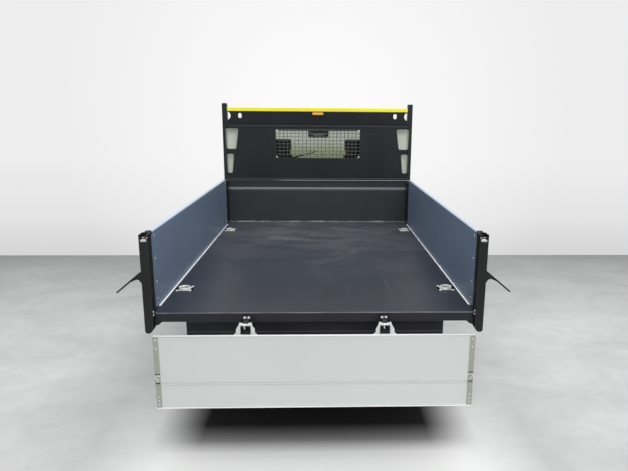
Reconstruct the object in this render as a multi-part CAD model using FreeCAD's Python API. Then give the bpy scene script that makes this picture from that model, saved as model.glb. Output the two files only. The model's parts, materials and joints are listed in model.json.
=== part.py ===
import FreeCAD, Part
import math
import os
from FreeCAD import Vector

# Compact cab-over tipper truck. Millimetres, +Y forward, +X to the truck's right,
# +Z up, ground at z = 0. Rear things are placed from the rear edge of the bed floor.

# Load bed
FLOOR_REAR = -2132.0      # rear edge of the bed floor
BED_LENGTH = 2570.0       # floor, from its rear edge to the headboard
BED_WIDTH = 1740.0        # between the side boards
FLOOR_SHEET = 4.0
BOARD_HEIGHT = 400.0
BOARD_THICK = 25.0
BOARD_BEAD = 2.0          # a board's panel stands back this far from its beads
POST_WIDTH = 45.0         # rear posts, across the truck
POST_LENGTH = 66.0        # rear posts, along the truck
POST_PROUD = 32.0         # rear posts behind the floor's edge
POST_RISE = 435.0         # top of the rear posts above the floor
POST_DROP = 103.0         # tip of the rear posts below the floor
POCKET_DEPTH = 40.0       # catch pocket in their tops
LATCH_RISE = 210.0        # latch lever's pin above the floor
LATCH_OUT = 15.0          # and outside the post
HEAD_DEPTH = 50.0
HEAD_RISE = 1136.0        # top of the headboard posts above the floor
HEAD_POST = 24.0          # headboard posts, widening at the top
HEAD_POST_TOP = 48.0
HEAD_HALF = 911.0         # outer face of the headboard posts
RAIL_HEIGHT = 37.0        # yellow top rail
BEAM_HEIGHT = 50.0        # rear beam face below the floor
CROSS_HEIGHT = 60.0       # cross members under the floor
LONG_HEIGHT = 80.0        # the two longitudinals under them
BED_GAP = 26.0            # longitudinals above the subframe
LONG_IN, LONG_OUT = 310.0, 370.0
PLAY = 5.0                # clearance of moving pieces
REST_GAP = 6.0            # lowered bed above its rests
FIT = 0.3                 # clearance of pins in their bores

# Tailgate
GATE_WIDTH = 1704.0
GATE_HEIGHT = 414.0
GATE_THICK = 25.0
GATE_PIN_BACK = 48.0      # hinge pin behind the floor edge
GATE_PIN_DROP = 50.0      # hinge pin below the floor
GATE_HANG = 99.0          # top edge of the hanging tailgate below the floor
GATE_BACK = 63.0          # its truck-side face behind the floor edge
GATE_HINGE_X = 370.0

# Chassis
FRAME_OVER_AXLE = 175.0   # bottom of the rails above the wheels' centres
FRAME_HEIGHT = 120.0
FRAME_WALL = 8.0
SUBFRAME_HEIGHT = 70.0
PIVOT_FROM_EDGE = 330.0   # tip axis ahead of the rear edge of the floor
PIVOT_RISE = 45.0         # tip axis above the top of the rails
PIVOT_PIN = 12.0          # radius

# Wheels
TYRE_RADIUS = 325.0
TYRE_WIDTH = 185.0
RIM_RADIUS = 178.0
TRACK_HALF = 750.0
KINGPIN_X = 640.0
REAR_AXLE_FROM_EDGE = 1150.0
FRONT_AXLE_FROM_CAB = 700.0

# Cab; each rise is above the top of the rails
CAB_GAP = 72.0
CAB_LENGTH = 1600.0
CAB_WIDTH = 1850.0
CAB_WALL = 45.0
CAB_RISE = 1240.0
DOOR_RISE = 1145.0
WAIST_RISE = 620.0
LAMP_RISE = 70.0
FLOOR_RISE = 20.0         # cab floor under the feet
SEAT_FLOOR_RISE = 140.0   # cab floor over the engine and the wheels
SILL_DROP = 20.0          # cab sill below the bottom of the rails
DOOR_GAP = 5.0
ARCH_GAP = 95.0           # wheel arch around the front tyre
BUMPER_DEPTH = 60.0
BUMPER_HEIGHT = 160.0

# Hoist, from the tip axis
HOIST_FOOT = (440.0, -280.0)
HOIST_EYE = (520.0, 70.0)
BARREL_RADIUS = 52.0

HALF = BED_WIDTH / 2
HEAD_REAR = FLOOR_REAR + BED_LENGTH
HEAD_FRONT = HEAD_REAR + HEAD_DEPTH
CAB_REAR = HEAD_FRONT + CAB_GAP
CAB_FRONT = CAB_REAR + CAB_LENGTH
REAR_AXLE = FLOOR_REAR + REAR_AXLE_FROM_EDGE
FRONT_AXLE = CAB_REAR + FRONT_AXLE_FROM_CAB
PIVOT = FLOOR_REAR + PIVOT_FROM_EDGE
FRAME_BOTTOM = TYRE_RADIUS + FRAME_OVER_AXLE
FRAME_TOP = FRAME_BOTTOM + FRAME_HEIGHT
PIVOT_HEIGHT = FRAME_TOP + PIVOT_RISE
FRAME_REAR = PIVOT - 60.0
FRAME_FRONT = CAB_FRONT - 60.0
SUB_TOP = FRAME_TOP + SUBFRAME_HEIGHT
LONG_BOTTOM = SUB_TOP + BED_GAP
CROSS_BOTTOM = LONG_BOTTOM + LONG_HEIGHT
CROSS_TOP = CROSS_BOTTOM + CROSS_HEIGHT
FLOOR_TOP = CROSS_TOP + FLOOR_SHEET     # loading height
CAB_HALF = CAB_WIDTH / 2
CAB_HEIGHT = FRAME_TOP + CAB_RISE
DOOR_TOP = FRAME_TOP + DOOR_RISE
WAIST_HEIGHT = FRAME_TOP + WAIST_RISE
CAB_FLOOR_LOW = FRAME_TOP + FLOOR_RISE
CAB_FLOOR_HIGH = FRAME_TOP + SEAT_FLOOR_RISE
SILL_HEIGHT = FRAME_BOTTOM - SILL_DROP
ARCH_RADIUS = TYRE_RADIUS + ARCH_GAP


# ---------------------------------------------------------------- helpers

def box(x0, x1, y0, y1, z0, z1):
    return Part.makeBox(x1 - x0, y1 - y0, z1 - z0, Vector(x0, y0, z0))


def rod_x(y, z, radius, x0, x1):
    return Part.makeCylinder(radius, x1 - x0, Vector(x0, y, z), Vector(1, 0, 0))


def rod_y(x, z, radius, y0, y1):
    return Part.makeCylinder(radius, y1 - y0, Vector(x, y0, z), Vector(0, 1, 0))


def rod_z(x, y, radius, z0, z1):
    return Part.makeCylinder(radius, z1 - z0, Vector(x, y, z0), Vector(0, 0, 1))


def rod(start, end, radius):
    run = end - start
    return Part.makeCylinder(radius, run.Length, start, run)


def corner_arc(before, corner, after, radius):
    """Start, middle and end of the arc that rounds one corner."""
    to_before = (before - corner).normalize()
    to_after = (after - corner).normalize()
    half_angle = to_before.getAngle(to_after) / 2
    setback = radius / math.tan(half_angle)
    inward = (to_before + to_after).normalize()
    centre = corner + inward * (radius / math.sin(half_angle))
    return corner + to_before * setback, centre - inward * radius, corner + to_after * setback


def outline(points):
    """Closed face through points; each is (vector, corner radius)."""
    count = len(points)
    stops = []
    for i, (corner, radius) in enumerate(points):
        if radius > 0:
            stops.append(corner_arc(points[i - 1][0], corner, points[(i + 1) % count][0], radius))
        else:
            stops.append((corner, None, corner))
    edges = []
    for i, (start, middle, end) in enumerate(stops):
        if middle is not None:
            edges.append(Part.Arc(start, middle, end).toShape())
        following = stops[(i + 1) % count][0]
        if end.distanceToPoint(following) > 1e-6:
            edges.append(Part.LineSegment(end, following).toShape())
    return Part.Face(Part.Wire(edges))


def prism_x(points, x0, x1, radius=0.0):
    """Extrude a (y, z) or (y, z, corner radius) outline along X."""
    face = outline([(Vector(x0, p[0], p[1]), p[2] if len(p) > 2 else radius) for p in points])
    return face.extrude(Vector(x1 - x0, 0, 0))


def prism_y(points, y0, y1, radius=0.0):
    """Extrude an (x, z) or (x, z, corner radius) outline along Y."""
    face = outline([(Vector(p[0], y0, p[1]), p[2] if len(p) > 2 else radius) for p in points])
    return face.extrude(Vector(0, y1 - y0, 0))


def prism_z(points, z0, z1, radius=0.0):
    """Extrude an (x, y) or (x, y, corner radius) outline along Z."""
    face = outline([(Vector(p[0], p[1], z0), p[2] if len(p) > 2 else radius) for p in points])
    return face.extrude(Vector(0, 0, z1 - z0))


def rectangle(a0, a1, b0, b1):
    return [(a0, b0), (a1, b0), (a1, b1), (a0, b1)]


def turned(points, x, y, z):
    """Revolve an (offset along X, radius) outline about the X axis through y, z."""
    face = outline([(Vector(x + p[0], y, z + p[1]), p[2] if len(p) > 2 else 0.0) for p in points])
    return face.revolve(Vector(x, y, z), Vector(1, 0, 0), 360)


def mirrored(shape):
    return shape.mirror(Vector(0, 0, 0), Vector(1, 0, 0))


def both(shapes):
    """The shapes and their mirror images."""
    return list(shapes) + [mirrored(shape) for shape in shapes]


def joined(shapes):
    result = shapes[0]
    if len(shapes) > 1:
        result = result.fuse(list(shapes[1:]))
    return result.removeSplitter()


def export(name, shapes):
    shapes = shapes if isinstance(shapes, list) else [shapes]
    solids = [solid for shape in shapes for solid in shape.Solids]
    for solid in solids:
        if not solid.isValid() or solid.Volume <= 0:
            raise ValueError(f"{name} holds a bad solid")
    shape = solids[0] if len(solids) == 1 else Part.makeCompound(solids)
    shape.exportStep(f"parts/{name}.step")
    print(f"{name:24s} {len(solids):3d} solids {sum(s.Volume for s in solids) / 1e6:9.2f} l")


def board_section(inner, outer, low, high):
    """End view of a drop side: rounded edges, a bead along each and a double groove between."""
    out = 1 if outer > inner else -1
    panel = outer - out * BOARD_BEAD
    points = [(inner, low, 6), (outer, low, 3), (outer, low + 13), (panel, low + 15)]
    for share in (0.33, 0.36):
        groove = low + share * (high - low)
        points += [(panel, groove - 2.5), (panel - out * 2, groove - 1), (panel - out * 2, groove + 1),
                   (panel, groove + 2.5)]
    return points + [(panel, high - 15), (outer, high - 13), (outer, high, 8), (inner, high, 8)]


# ---------------------------------------------------------------- chassis

ENGINE_HALF = 250.0
ENGINE_REAR, ENGINE_LENGTH = CAB_REAR + 260.0, 620.0
ENGINE_BOTTOM, ENGINE_TOP = FRAME_BOTTOM - 100.0, CAB_FLOOR_HIGH - 25.0
AXLE_RADIUS = 38.0
BEAM_DROP = 13.0          # front axle beam below the wheels' centres
HUB_BORE = 28.0
SPRING_LENGTH = 900.0
SPRING_RISE = 75.0
LEAF_THICK = 9.0
SPRING_X = (LONG_IN + LONG_OUT) / 2
SPRING_LOW = TYRE_RADIUS + AXLE_RADIUS + 1.0
UNDERRUN_DROP, UNDERRUN_HEIGHT = 120.0, 100.0   # underrun bar below the rails


def chassis_rails():
    inner = LONG_IN
    web = LONG_OUT - FRAME_WALL
    section = [(inner, FRAME_BOTTOM), (LONG_OUT, FRAME_BOTTOM, 10), (LONG_OUT, FRAME_TOP, 10),
               (inner, FRAME_TOP), (inner, FRAME_TOP - FRAME_WALL), (web, FRAME_TOP - FRAME_WALL, 4),
               (web, FRAME_BOTTOM + FRAME_WALL, 4), (inner, FRAME_BOTTOM + FRAME_WALL)]
    return both([prism_y(section, FRAME_REAR, FRAME_FRONT)])


def chassis_crossmembers():
    web = LONG_OUT - FRAME_WALL
    members = []
    for y in (FRAME_REAR + 30, REAR_AXLE + 280, REAR_AXLE + 800, HEAD_REAR, FRONT_AXLE + 420,
              FRAME_FRONT - 40):
        members.append(box(-web, web, y - 25, y + 25, FRAME_BOTTOM + 45, FRAME_TOP - FRAME_WALL - 5))
    mount_reach = LONG_OUT + 50
    for y, top in ((CAB_REAR + 90, CAB_FLOOR_HIGH), (FRAME_FRONT - 60, CAB_FLOOR_LOW)):
        bracket = box(LONG_IN, mount_reach, y - 30, y + 30, FRAME_TOP, top)
        members += both([bracket])
    return members


def engine():
    """Engine with its gearbox behind it, as one plain block."""
    block = box(-ENGINE_HALF, ENGINE_HALF, ENGINE_REAR, ENGINE_REAR + ENGINE_LENGTH, ENGINE_BOTTOM,
                ENGINE_TOP)
    long_edges = [e for e in block.Edges if e.BoundBox.YLength > ENGINE_LENGTH - 1]
    block = block.makeFillet(40, long_edges)
    gearbox = box(-110, 110, ENGINE_REAR - 300, ENGINE_REAR, ENGINE_BOTTOM + 30, FRAME_TOP + 20)
    web = LONG_OUT - FRAME_WALL
    mount = box(-web, web, ENGINE_REAR + 280, ENGINE_REAR + 340, FRAME_BOTTOM + 30, FRAME_TOP - 30)
    return joined([block, gearbox, mount])


def spring_seat(y, axle_z):
    return box(LONG_IN, LONG_OUT, y - 60, y + 60, axle_z, SPRING_LOW)


def rear_axle():
    tube = rod_x(REAR_AXLE, TYRE_RADIUS, AXLE_RADIUS, -TRACK_HALF + 50, TRACK_HALF - 50)
    housing = turned([(-130, 0), (-130, 60, 20), (-60, 115, 40), (60, 115, 40), (130, 60, 20), (130, 0)],
                     0, REAR_AXLE, TYRE_RADIUS)
    nose = rod_y(0, TYRE_RADIUS + 8, 48, REAR_AXLE, REAR_AXLE + 150)
    pieces = [tube, housing, nose]
    for side in (-1, 1):
        pieces.append(rod_x(REAR_AXLE, TYRE_RADIUS, 125,
                            *sorted((side * (TRACK_HALF - 50), side * (TRACK_HALF - 12)))))
        pieces.append(rod_x(REAR_AXLE, TYRE_RADIUS, HUB_BORE,
                            *sorted((side * (TRACK_HALF - 50), side * (TRACK_HALF + 38)))))
        seat = spring_seat(REAR_AXLE, TYRE_RADIUS)
        pieces.append(seat if side > 0 else mirrored(seat))
    return joined(pieces)


def front_axle():
    beam_z = TYRE_RADIUS - BEAM_DROP
    eye = 34.0
    beam = box(-KINGPIN_X, KINGPIN_X, FRONT_AXLE - 32, FRONT_AXLE + 32, beam_z - 32, beam_z + 32)
    pieces = [beam]
    for side in (-1, 1):
        pieces.append(rod_z(side * KINGPIN_X, FRONT_AXLE, eye, TYRE_RADIUS - 45, TYRE_RADIUS + 45))
        seat = spring_seat(FRONT_AXLE, beam_z)
        pieces.append(seat if side > 0 else mirrored(seat))
    axle = joined(pieces)
    for side in (-1, 1):
        end = box(*sorted((side * (KINGPIN_X - 10), side * (KINGPIN_X + 60))), FRONT_AXLE - 60,
                  FRONT_AXLE + 60,
                  beam_z - 60, TYRE_RADIUS - 45)
        axle = axle.cut(end)
        axle = axle.cut(rod_z(side * KINGPIN_X, FRONT_AXLE, 22 + FIT, beam_z - 120, beam_z + 140))
    return axle


def leaf_spring(axle_y):
    """One pack of four leaves, bent to one centre, with its hangers on the rail."""
    bend = ((SPRING_LENGTH / 2) ** 2 + SPRING_RISE ** 2) / (2 * SPRING_RISE)
    leaves = []
    pack = 4 * LEAF_THICK
    centre_z = SPRING_LOW + pack + bend
    for i, reach in enumerate((1.0, 0.82, 0.62, 0.40)):
        inner, outer = bend + i * LEAF_THICK, bend + (i + 1) * LEAF_THICK
        swing = math.asin(reach * SPRING_LENGTH / 2 / bend)
        ends = []
        for radius in (inner, outer):
            ends.append([Vector(0, axle_y + radius * math.sin(a), centre_z - radius * math.cos(a))
                         for a in (-swing, 0, swing)])
        low, high = ends
        edges = [Part.Arc(*low).toShape(), Part.LineSegment(low[2], high[2]).toShape(),
                 Part.Arc(high[2], high[1], high[0]).toShape(), Part.LineSegment(high[0], low[0]).toShape()]
        face = Part.Face(Part.Wire(edges))
        face.translate(Vector(LONG_IN + 2, 0, 0))
        leaves.append(face.extrude(Vector(LONG_OUT - LONG_IN - 4, 0, 0)))
    eye_z = SPRING_LOW + pack + SPRING_RISE
    for side in (-1, 1):
        eye_y = axle_y + side * SPRING_LENGTH / 2
        leaves.append(rod_x(eye_y, eye_z, 20, LONG_IN + 2, LONG_OUT - 2))
        hanger = [(eye_y - 24, FRAME_BOTTOM), (eye_y - 18, eye_z - 16, 8), (eye_y + 18, eye_z - 16, 8),
                  (eye_y + 24, FRAME_BOTTOM)]
        for x in (LONG_IN - 6, LONG_OUT - 2):
            leaves.append(prism_x(hanger, x, x + 8))
    return joined(leaves)


def leaf_springs():
    return both([leaf_spring(REAR_AXLE), leaf_spring(FRONT_AXLE)])


def drive_shaft():
    start = Vector(0, REAR_AXLE + 145, TYRE_RADIUS + 8)
    end = Vector(0, ENGINE_REAR - 295, FRAME_BOTTOM - 10)
    return rod(start, end, 34).cut(rear_axle()).cut(engine())


def fuel_tank():
    y0, y1 = REAR_AXLE + 480, REAR_AXLE + 1180
    tank = prism_y(rectangle(-720, -410, FRAME_TOP - 290, FRAME_TOP - 30), y0, y1, 45)
    pieces = [tank]
    for y in (y0 + 120, y1 - 120):
        pieces.append(box(-560, -LONG_OUT, y - 20, y + 20, FRAME_TOP - 60, FRAME_TOP - 20))
    return joined(pieces)


def battery_box():
    y0 = REAR_AXLE + 900
    case = prism_z(rectangle(420, 700, y0, y0 + 320), FRAME_TOP - 250, FRAME_TOP - 40, 15)
    brackets = [box(LONG_OUT, 440, y, y + 50, FRAME_TOP - 100, FRAME_TOP - 20) for y in (y0 + 60, y0 + 210)]
    return joined([case] + brackets)


def hydraulic_unit():
    """Oil tank with the electric pump on its end."""
    y0 = REAR_AXLE + 480
    tank = prism_x(rectangle(y0, y0 + 260, FRAME_TOP - 240, FRAME_TOP - 30), 420, 690, 20)
    pump = rod_y(555, FRAME_TOP - 140, 60, y0 + 260, y0 + 370)
    return joined([tank, pump, box(LONG_OUT, 440, y0 + 60, y0 + 180, FRAME_TOP - 90, FRAME_TOP - 20)])


def silencer():
    x, z = 205.0, FRAME_BOTTOM - 60
    can = rod_y(x, z, 72, REAR_AXLE + 400, REAR_AXLE + 900)
    front_pipe = rod_y(x, z, 24, REAR_AXLE + 900, ENGINE_REAR)
    tail_pipe = rod_y(x, z, 24, REAR_AXLE + 260, REAR_AXLE + 400)
    hanger = box(x - 15, x + 15, REAR_AXLE + 786, REAR_AXLE + 794, z, FRAME_BOTTOM + 45)
    return joined([can, front_pipe, tail_pipe, hanger])


def tipper_subframe():
    rail = prism_y([(LONG_IN, FRAME_TOP), (LONG_OUT, FRAME_TOP), (LONG_OUT, SUB_TOP), (LONG_IN, SUB_TOP),
                    (LONG_IN, SUB_TOP - 8), (LONG_OUT - 8, SUB_TOP - 8), (LONG_OUT - 8, FRAME_TOP + 8),
                    (LONG_IN, FRAME_TOP + 8)], PIVOT + 50, HEAD_REAR - 40)
    pieces = both([rail])
    for y in (PIVOT + 100, REAR_AXLE + 250, HEAD_REAR - 80):
        pieces.append(box(-LONG_OUT + 8, LONG_OUT - 8, y - 20, y + 20, FRAME_TOP + 8, SUB_TOP - 8))
    for y in (REAR_AXLE, REAR_AXLE + 1000):
        pieces += both([box(LONG_IN + 4, LONG_OUT - 4, y - 60, y + 60, SUB_TOP, LONG_BOTTOM - REST_GAP)])
    lug = [(PIVOT - 35, FRAME_TOP), (PIVOT - 35, PIVOT_HEIGHT + 35, 34.9),
           (PIVOT + 35, PIVOT_HEIGHT + 35, 34.9),
           (PIVOT + 62, SUB_TOP - 20), (PIVOT + 62, FRAME_TOP)]
    for x in (LONG_IN + 8, LONG_OUT - 20):
        pieces += both([prism_x(lug, x, x + 12)])
    pieces += both([rod_x(PIVOT, PIVOT_HEIGHT, PIVOT_PIN, LONG_IN + 4, LONG_OUT - 4)])
    foot_y, foot_z = PIVOT + HOIST_FOOT[0], PIVOT_HEIGHT + HOIST_FOOT[1]
    cheek = [(foot_y - 70, SUB_TOP), (foot_y - 32, foot_z - 32, 31), (foot_y + 32, foot_z - 32, 31),
             (foot_y + 70, SUB_TOP)]
    beam = box(87, LONG_OUT - 8, foot_y - 60, foot_y + 60, FRAME_TOP + 8, SUB_TOP - 8)
    trunnion = rod_x(foot_y, foot_z, 16, 60, 95)
    pieces += both([prism_x(cheek, 75, 87), beam, trunnion])
    return joined(pieces)


def underrun_bar():
    y0, y1 = FRAME_REAR - 40, FRAME_REAR
    low, high = FRAME_BOTTOM - UNDERRUN_DROP, FRAME_BOTTOM - UNDERRUN_DROP + UNDERRUN_HEIGHT
    bar = prism_x(rectangle(y0, y1, low, high), -HALF + 30, HALF - 30, 8)
    pieces = [bar] + both([box(LONG_IN + 10, LONG_OUT - 10, y1 - 2, y1 + 60, low + 10, FRAME_BOTTOM)])
    return joined(pieces)


def tail_lamps():
    y1 = FRAME_REAR - 40
    low = FRAME_BOTTOM - UNDERRUN_DROP
    return both([prism_y(rectangle(560, 800, low + 8, low + UNDERRUN_HEIGHT - 8), y1 - 28, y1, 12)])


def rear_mudguards():
    guard_in, guard_out = TYRE_RADIUS + 47, TYRE_RADIUS + 51
    arcs = []
    for radius in (guard_in, guard_out):
        arcs.append([Vector(620, REAR_AXLE + radius * math.cos(math.radians(a)),
                            TYRE_RADIUS + radius * math.sin(math.radians(a))) for a in (165, 90, 15)])
    low, high = arcs
    edges = [Part.Arc(*low).toShape(), Part.LineSegment(low[2], high[2]).toShape(),
             Part.Arc(high[2], high[1], high[0]).toShape(), Part.LineSegment(high[0], low[0]).toShape()]
    guard = Part.Face(Part.Wire(edges)).extrude(Vector(240, 0, 0))
    stay_z = FRAME_BOTTOM + 60
    reach = math.sqrt(guard_out ** 2 - (stay_z - 8 - TYRE_RADIUS) ** 2)
    stays = [rod_x(REAR_AXLE + side * reach, stay_z, 12, LONG_OUT, 660) for side in (-1, 1)]
    return both([joined([guard] + stays)])


# ---------------------------------------------------------------- wheels

def wheel_tyre(x, y, side):
    half = TYRE_WIDTH / 2
    section = [(-74, RIM_RADIUS), (74, RIM_RADIUS), (74, RIM_RADIUS + 12), (82, RIM_RADIUS + 16),
               (half, RIM_RADIUS + 62, 40), (half - 8, TYRE_RADIUS - 22, 20), (half - 20, TYRE_RADIUS - 3, 8),
               (0, TYRE_RADIUS), (-half + 20, TYRE_RADIUS - 3, 8), (-half + 8, TYRE_RADIUS - 22, 20),
               (-half, RIM_RADIUS + 62, 40), (-82, RIM_RADIUS + 16), (-74, RIM_RADIUS + 12)]
    return turned([(side * p[0],) + tuple(p[1:]) for p in section], x, y, TYRE_RADIUS)


def wheel_rim(x, y, side):
    """Pressed disc in a flanged barrel, with a ring of vent holes and a hub cap."""
    section = [(-80, RIM_RADIUS + 12), (-74, RIM_RADIUS + 12), (-74, RIM_RADIUS), (74, RIM_RADIUS),
               (74, RIM_RADIUS + 12), (80, RIM_RADIUS + 12), (80, RIM_RADIUS - 8, 4),
               (34, RIM_RADIUS - 10, 4),
               (30, 150, 10), (52, 120, 20), (42, 85, 15), (48, 60), (56, 56, 4), (60, 30), (60, 0),
               (52, 0), (52, HUB_BORE + FIT), (-6, HUB_BORE + FIT), (-6, 55), (34, 55), (32, 85, 15),
               (42, 115, 20), (20, 150, 10), (20, RIM_RADIUS - 10, 4), (-80, RIM_RADIUS - 8, 4)]
    rim = turned([(side * p[0],) + tuple(p[1:]) for p in section], x, y, TYRE_RADIUS)
    for i in range(8):
        angle = 2 * math.pi * i / 8
        centre_y = y + 133 * math.cos(angle)
        centre_z = TYRE_RADIUS + 133 * math.sin(angle)
        rim = rim.cut(rod_x(centre_y, centre_z, 15, x - 95, x + 95))
    return rim


def knuckle():
    """Right knuckle: kingpin, fork, brake drum and stub axle."""
    web_in = KINGPIN_X + 41
    z0, z1 = TYRE_RADIUS - 100, TYRE_RADIUS + 100
    gap = 45 + PLAY
    pieces = [rod_z(KINGPIN_X, FRONT_AXLE, 22, z0 - 6, z1 + 6)]
    for low, high in ((z0, TYRE_RADIUS - gap), (TYRE_RADIUS + gap, z1)):
        arm = prism_z([(KINGPIN_X - 34, FRONT_AXLE - 34, 33), (web_in + 19, FRONT_AXLE - 34),
                       (web_in + 19, FRONT_AXLE + 34), (KINGPIN_X - 34, FRONT_AXLE + 34, 33)], low, high)
        pieces.append(arm)
    pieces.append(box(web_in, web_in + 19, FRONT_AXLE - 34, FRONT_AXLE + 34, z0, z1))
    pieces.append(rod_x(FRONT_AXLE, TYRE_RADIUS, 125, web_in + 19, TRACK_HALF - 12))
    pieces.append(rod_x(FRONT_AXLE, TYRE_RADIUS, HUB_BORE, web_in + 19, TRACK_HALF + 38))
    return joined(pieces)


# ---------------------------------------------------------------- cab

CAB_FLOOR_SHEET = 20.0
RISER = FRONT_AXLE + 420.0
DOOR_REAR = CAB_REAR + 330.0
DOOR_FRONT = CAB_FRONT - 200.0
SCREEN_BASE = (CAB_FRONT - 120.0, WAIST_HEIGHT)
SCREEN_RAKE = 360.0 / 620.0
GLASS = 6.0
INNER_HALF = CAB_HALF - CAB_WALL
DOOR_AXIS = (CAB_HALF + 10.0, DOOR_FRONT + 2.0)


def screen_y(z, inset):
    """Y of a line parallel to the windscreen, inset from its outer face."""
    slant = math.hypot(1.0, SCREEN_RAKE)
    return SCREEN_BASE[0] - (z - SCREEN_BASE[1]) * SCREEN_RAKE - inset * slant


def cab_side_outline(inset):
    low = SILL_HEIGHT - 100
    top = CAB_HEIGHT - inset
    front = CAB_FRONT - inset
    nose = WAIST_HEIGHT - 130
    return [(CAB_REAR + inset, low), (CAB_REAR + inset, top, 70 - inset / 2),
            (screen_y(top, inset), top, 90 - inset / 2),
            (screen_y(WAIST_HEIGHT, inset), WAIST_HEIGHT, 60), (front - 22, nose, 60),
            (front, FLOOR_TOP, 200),
            (front, low)]


def cab_shell():
    outer = prism_x(cab_side_outline(0), -CAB_HALF, CAB_HALF)
    inner = prism_x(cab_side_outline(CAB_WALL), -CAB_HALF, CAB_HALF)
    low = SILL_HEIGHT - 180
    across = lambda half, top, radius: [(-half, low), (half, low), (half, top, radius), (-half, top, radius)]
    long_outer = prism_y(across(CAB_HALF, CAB_HEIGHT, 70), CAB_REAR - 10, CAB_FRONT + 10)
    long_inner = prism_y(across(INNER_HALF, CAB_HEIGHT - CAB_WALL, 40), CAB_REAR - 10, CAB_FRONT + 10)
    shell = outer.common(long_outer).cut(inner.common(long_inner))
    return shell.common(box(-CAB_WIDTH, CAB_WIDTH, CAB_REAR - 10, CAB_FRONT + 10, SILL_HEIGHT,
                            CAB_HEIGHT + 10))


def door_outline(gap):
    return [(DOOR_REAR + gap, SILL_HEIGHT + gap), (DOOR_REAR + gap, DOOR_TOP - gap, 60),
            (screen_y(DOOR_TOP, 75 + gap), DOOR_TOP - gap, 50),
            (DOOR_FRONT - gap, WAIST_HEIGHT + 20, 80), (DOOR_FRONT - gap, SILL_HEIGHT + gap, 20)]


def door_window_outline():
    return [(DOOR_REAR + 70, WAIST_HEIGHT + 10, 30), (DOOR_REAR + 70, DOOR_TOP - 55, 50),
            (screen_y(DOOR_TOP - 55, 150), DOOR_TOP - 55, 40),
            (screen_y(WAIST_HEIGHT + 10, 150), WAIST_HEIGHT + 10, 40)]


def arch(radius, x0, x1):
    return rod_x(FRONT_AXLE, TYRE_RADIUS, radius, x0, x1)


def arch_flare():
    """Rounded lip round the right wheel arch."""
    lip = turned([(-6, ARCH_RADIUS - 1), (FLARE, ARCH_RADIUS - 1, 4), (FLARE, ARCH_RADIUS + 16, 8),
                  (0, ARCH_RADIUS + 28), (-6, ARCH_RADIUS + 28)], CAB_HALF, FRONT_AXLE, TYRE_RADIUS)
    return lip.common(box(0, CAB_WIDTH, CAB_REAR, CAB_FRONT, SILL_HEIGHT, CAB_HEIGHT))


SCREEN_HALF = CAB_HALF - 75
FLARE = 12.0
GRILLE = (540.0, 16.0, 30.0)            # half width, depth of its panel and of its slots
HANDLE = (DOOR_REAR + 50.0, DOOR_REAR + 190.0, WAIST_HEIGHT - 95.0, WAIST_HEIGHT - 45.0)
REAR_WINDOW = (620.0, WAIST_HEIGHT + 190.0, DOOR_TOP - 20.0)   # half width, bottom and top
ROOF_SPLIT = DOOR_TOP


def screen_hole(inset, margin=0.0):
    """Prism across the windscreen frame, square to the glass."""
    low = WAIST_HEIGHT + 60 - margin
    high = CAB_HEIGHT - 105 + margin
    half = SCREEN_HALF - 30 + margin
    hole = prism_x([(screen_y(low, -30), low), (screen_y(high, -30), high), (screen_y(high, 90), high - 40),
                    (screen_y(low, 90), low - 40)], -half, half)
    return hole


def cab_pieces():
    shell = joined([cab_shell()] + both([arch_flare()]))
    big = CAB_WIDTH
    roof = shell.common(box(-big, big, CAB_REAR - 10, CAB_FRONT, ROOF_SPLIT, CAB_HEIGHT + 10))
    gutter = box(CAB_HALF - 3, CAB_HALF + 9, DOOR_REAR - 60, screen_y(ROOF_SPLIT, 40), ROOF_SPLIT + 6,
                 ROOF_SPLIT + 16)
    roof = joined([roof] + both([gutter]))
    body = shell.cut(box(-big, big, CAB_REAR - 10, CAB_FRONT + 10, ROOF_SPLIT, CAB_HEIGHT + 10))
    back = body.common(box(-INNER_HALF, INNER_HALF, CAB_REAR - 10, CAB_REAR + CAB_WALL, 0, ROOF_SPLIT))
    half, low, high = REAR_WINDOW
    back = back.cut(prism_y(rectangle(-half, half, low, high), CAB_REAR - 10, CAB_REAR + 200, 40))
    back = back.cut(box(-big, big, CAB_REAR - 10, CAB_REAR + 100, 0, CAB_FLOOR_HIGH - 20))
    skin = body.cut(box(-INNER_HALF, INNER_HALF, CAB_REAR - 10, CAB_REAR + CAB_WALL, 0, ROOF_SPLIT))
    doors = skin.common(prism_x(door_outline(DOOR_GAP), -big, big)).cut(arch(ARCH_RADIUS, -big, big))
    skin = skin.cut(prism_x(door_outline(0), -big, big)).cut(arch(ARCH_RADIUS, -big, big))
    middle = DOOR_REAR + 200
    sides = skin.common(box(-big, big, CAB_REAR - 10, middle, 0, ROOF_SPLIT))
    front = skin.common(box(-big, big, middle, CAB_FRONT + 10, 0, ROOF_SPLIT)).cut(screen_hole(0))
    for lamp in headlamps():
        front = front.cut(lamp)
    return roof, back, front.cut(grille_slots()), sides, doors


def grille_slots():
    """Sunk panel between the headlamps with a row of slots across it."""
    half, panel_depth, slot_depth = GRILLE
    low = FRAME_TOP + LAMP_RISE
    panel = prism_y(rectangle(-half, half, low, low + 160), CAB_FRONT - panel_depth, CAB_FRONT + 50, 25)
    slots = [prism_y(rectangle(-half + 24, half - 24, low + z, low + z + 14), CAB_FRONT - slot_depth,
                     CAB_FRONT, 6)
             for z in (20, 47, 74, 101, 128)]
    return joined([panel] + slots)


def door_handle():
    """Pocket in the right door's skin, and the pull bar across it."""
    y0, y1, z0, z1 = HANDLE
    middle = (z0 + z1) / 2
    pocket = prism_x(rectangle(y0, y1, z0, z1), CAB_HALF - 14, CAB_HALF + 1, 18)
    bar = prism_x(rectangle(y0 - 6, y1 + 6, middle - 9, middle + 9), CAB_HALF - 4, CAB_HALF + 6, 8)
    return pocket, bar


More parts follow.
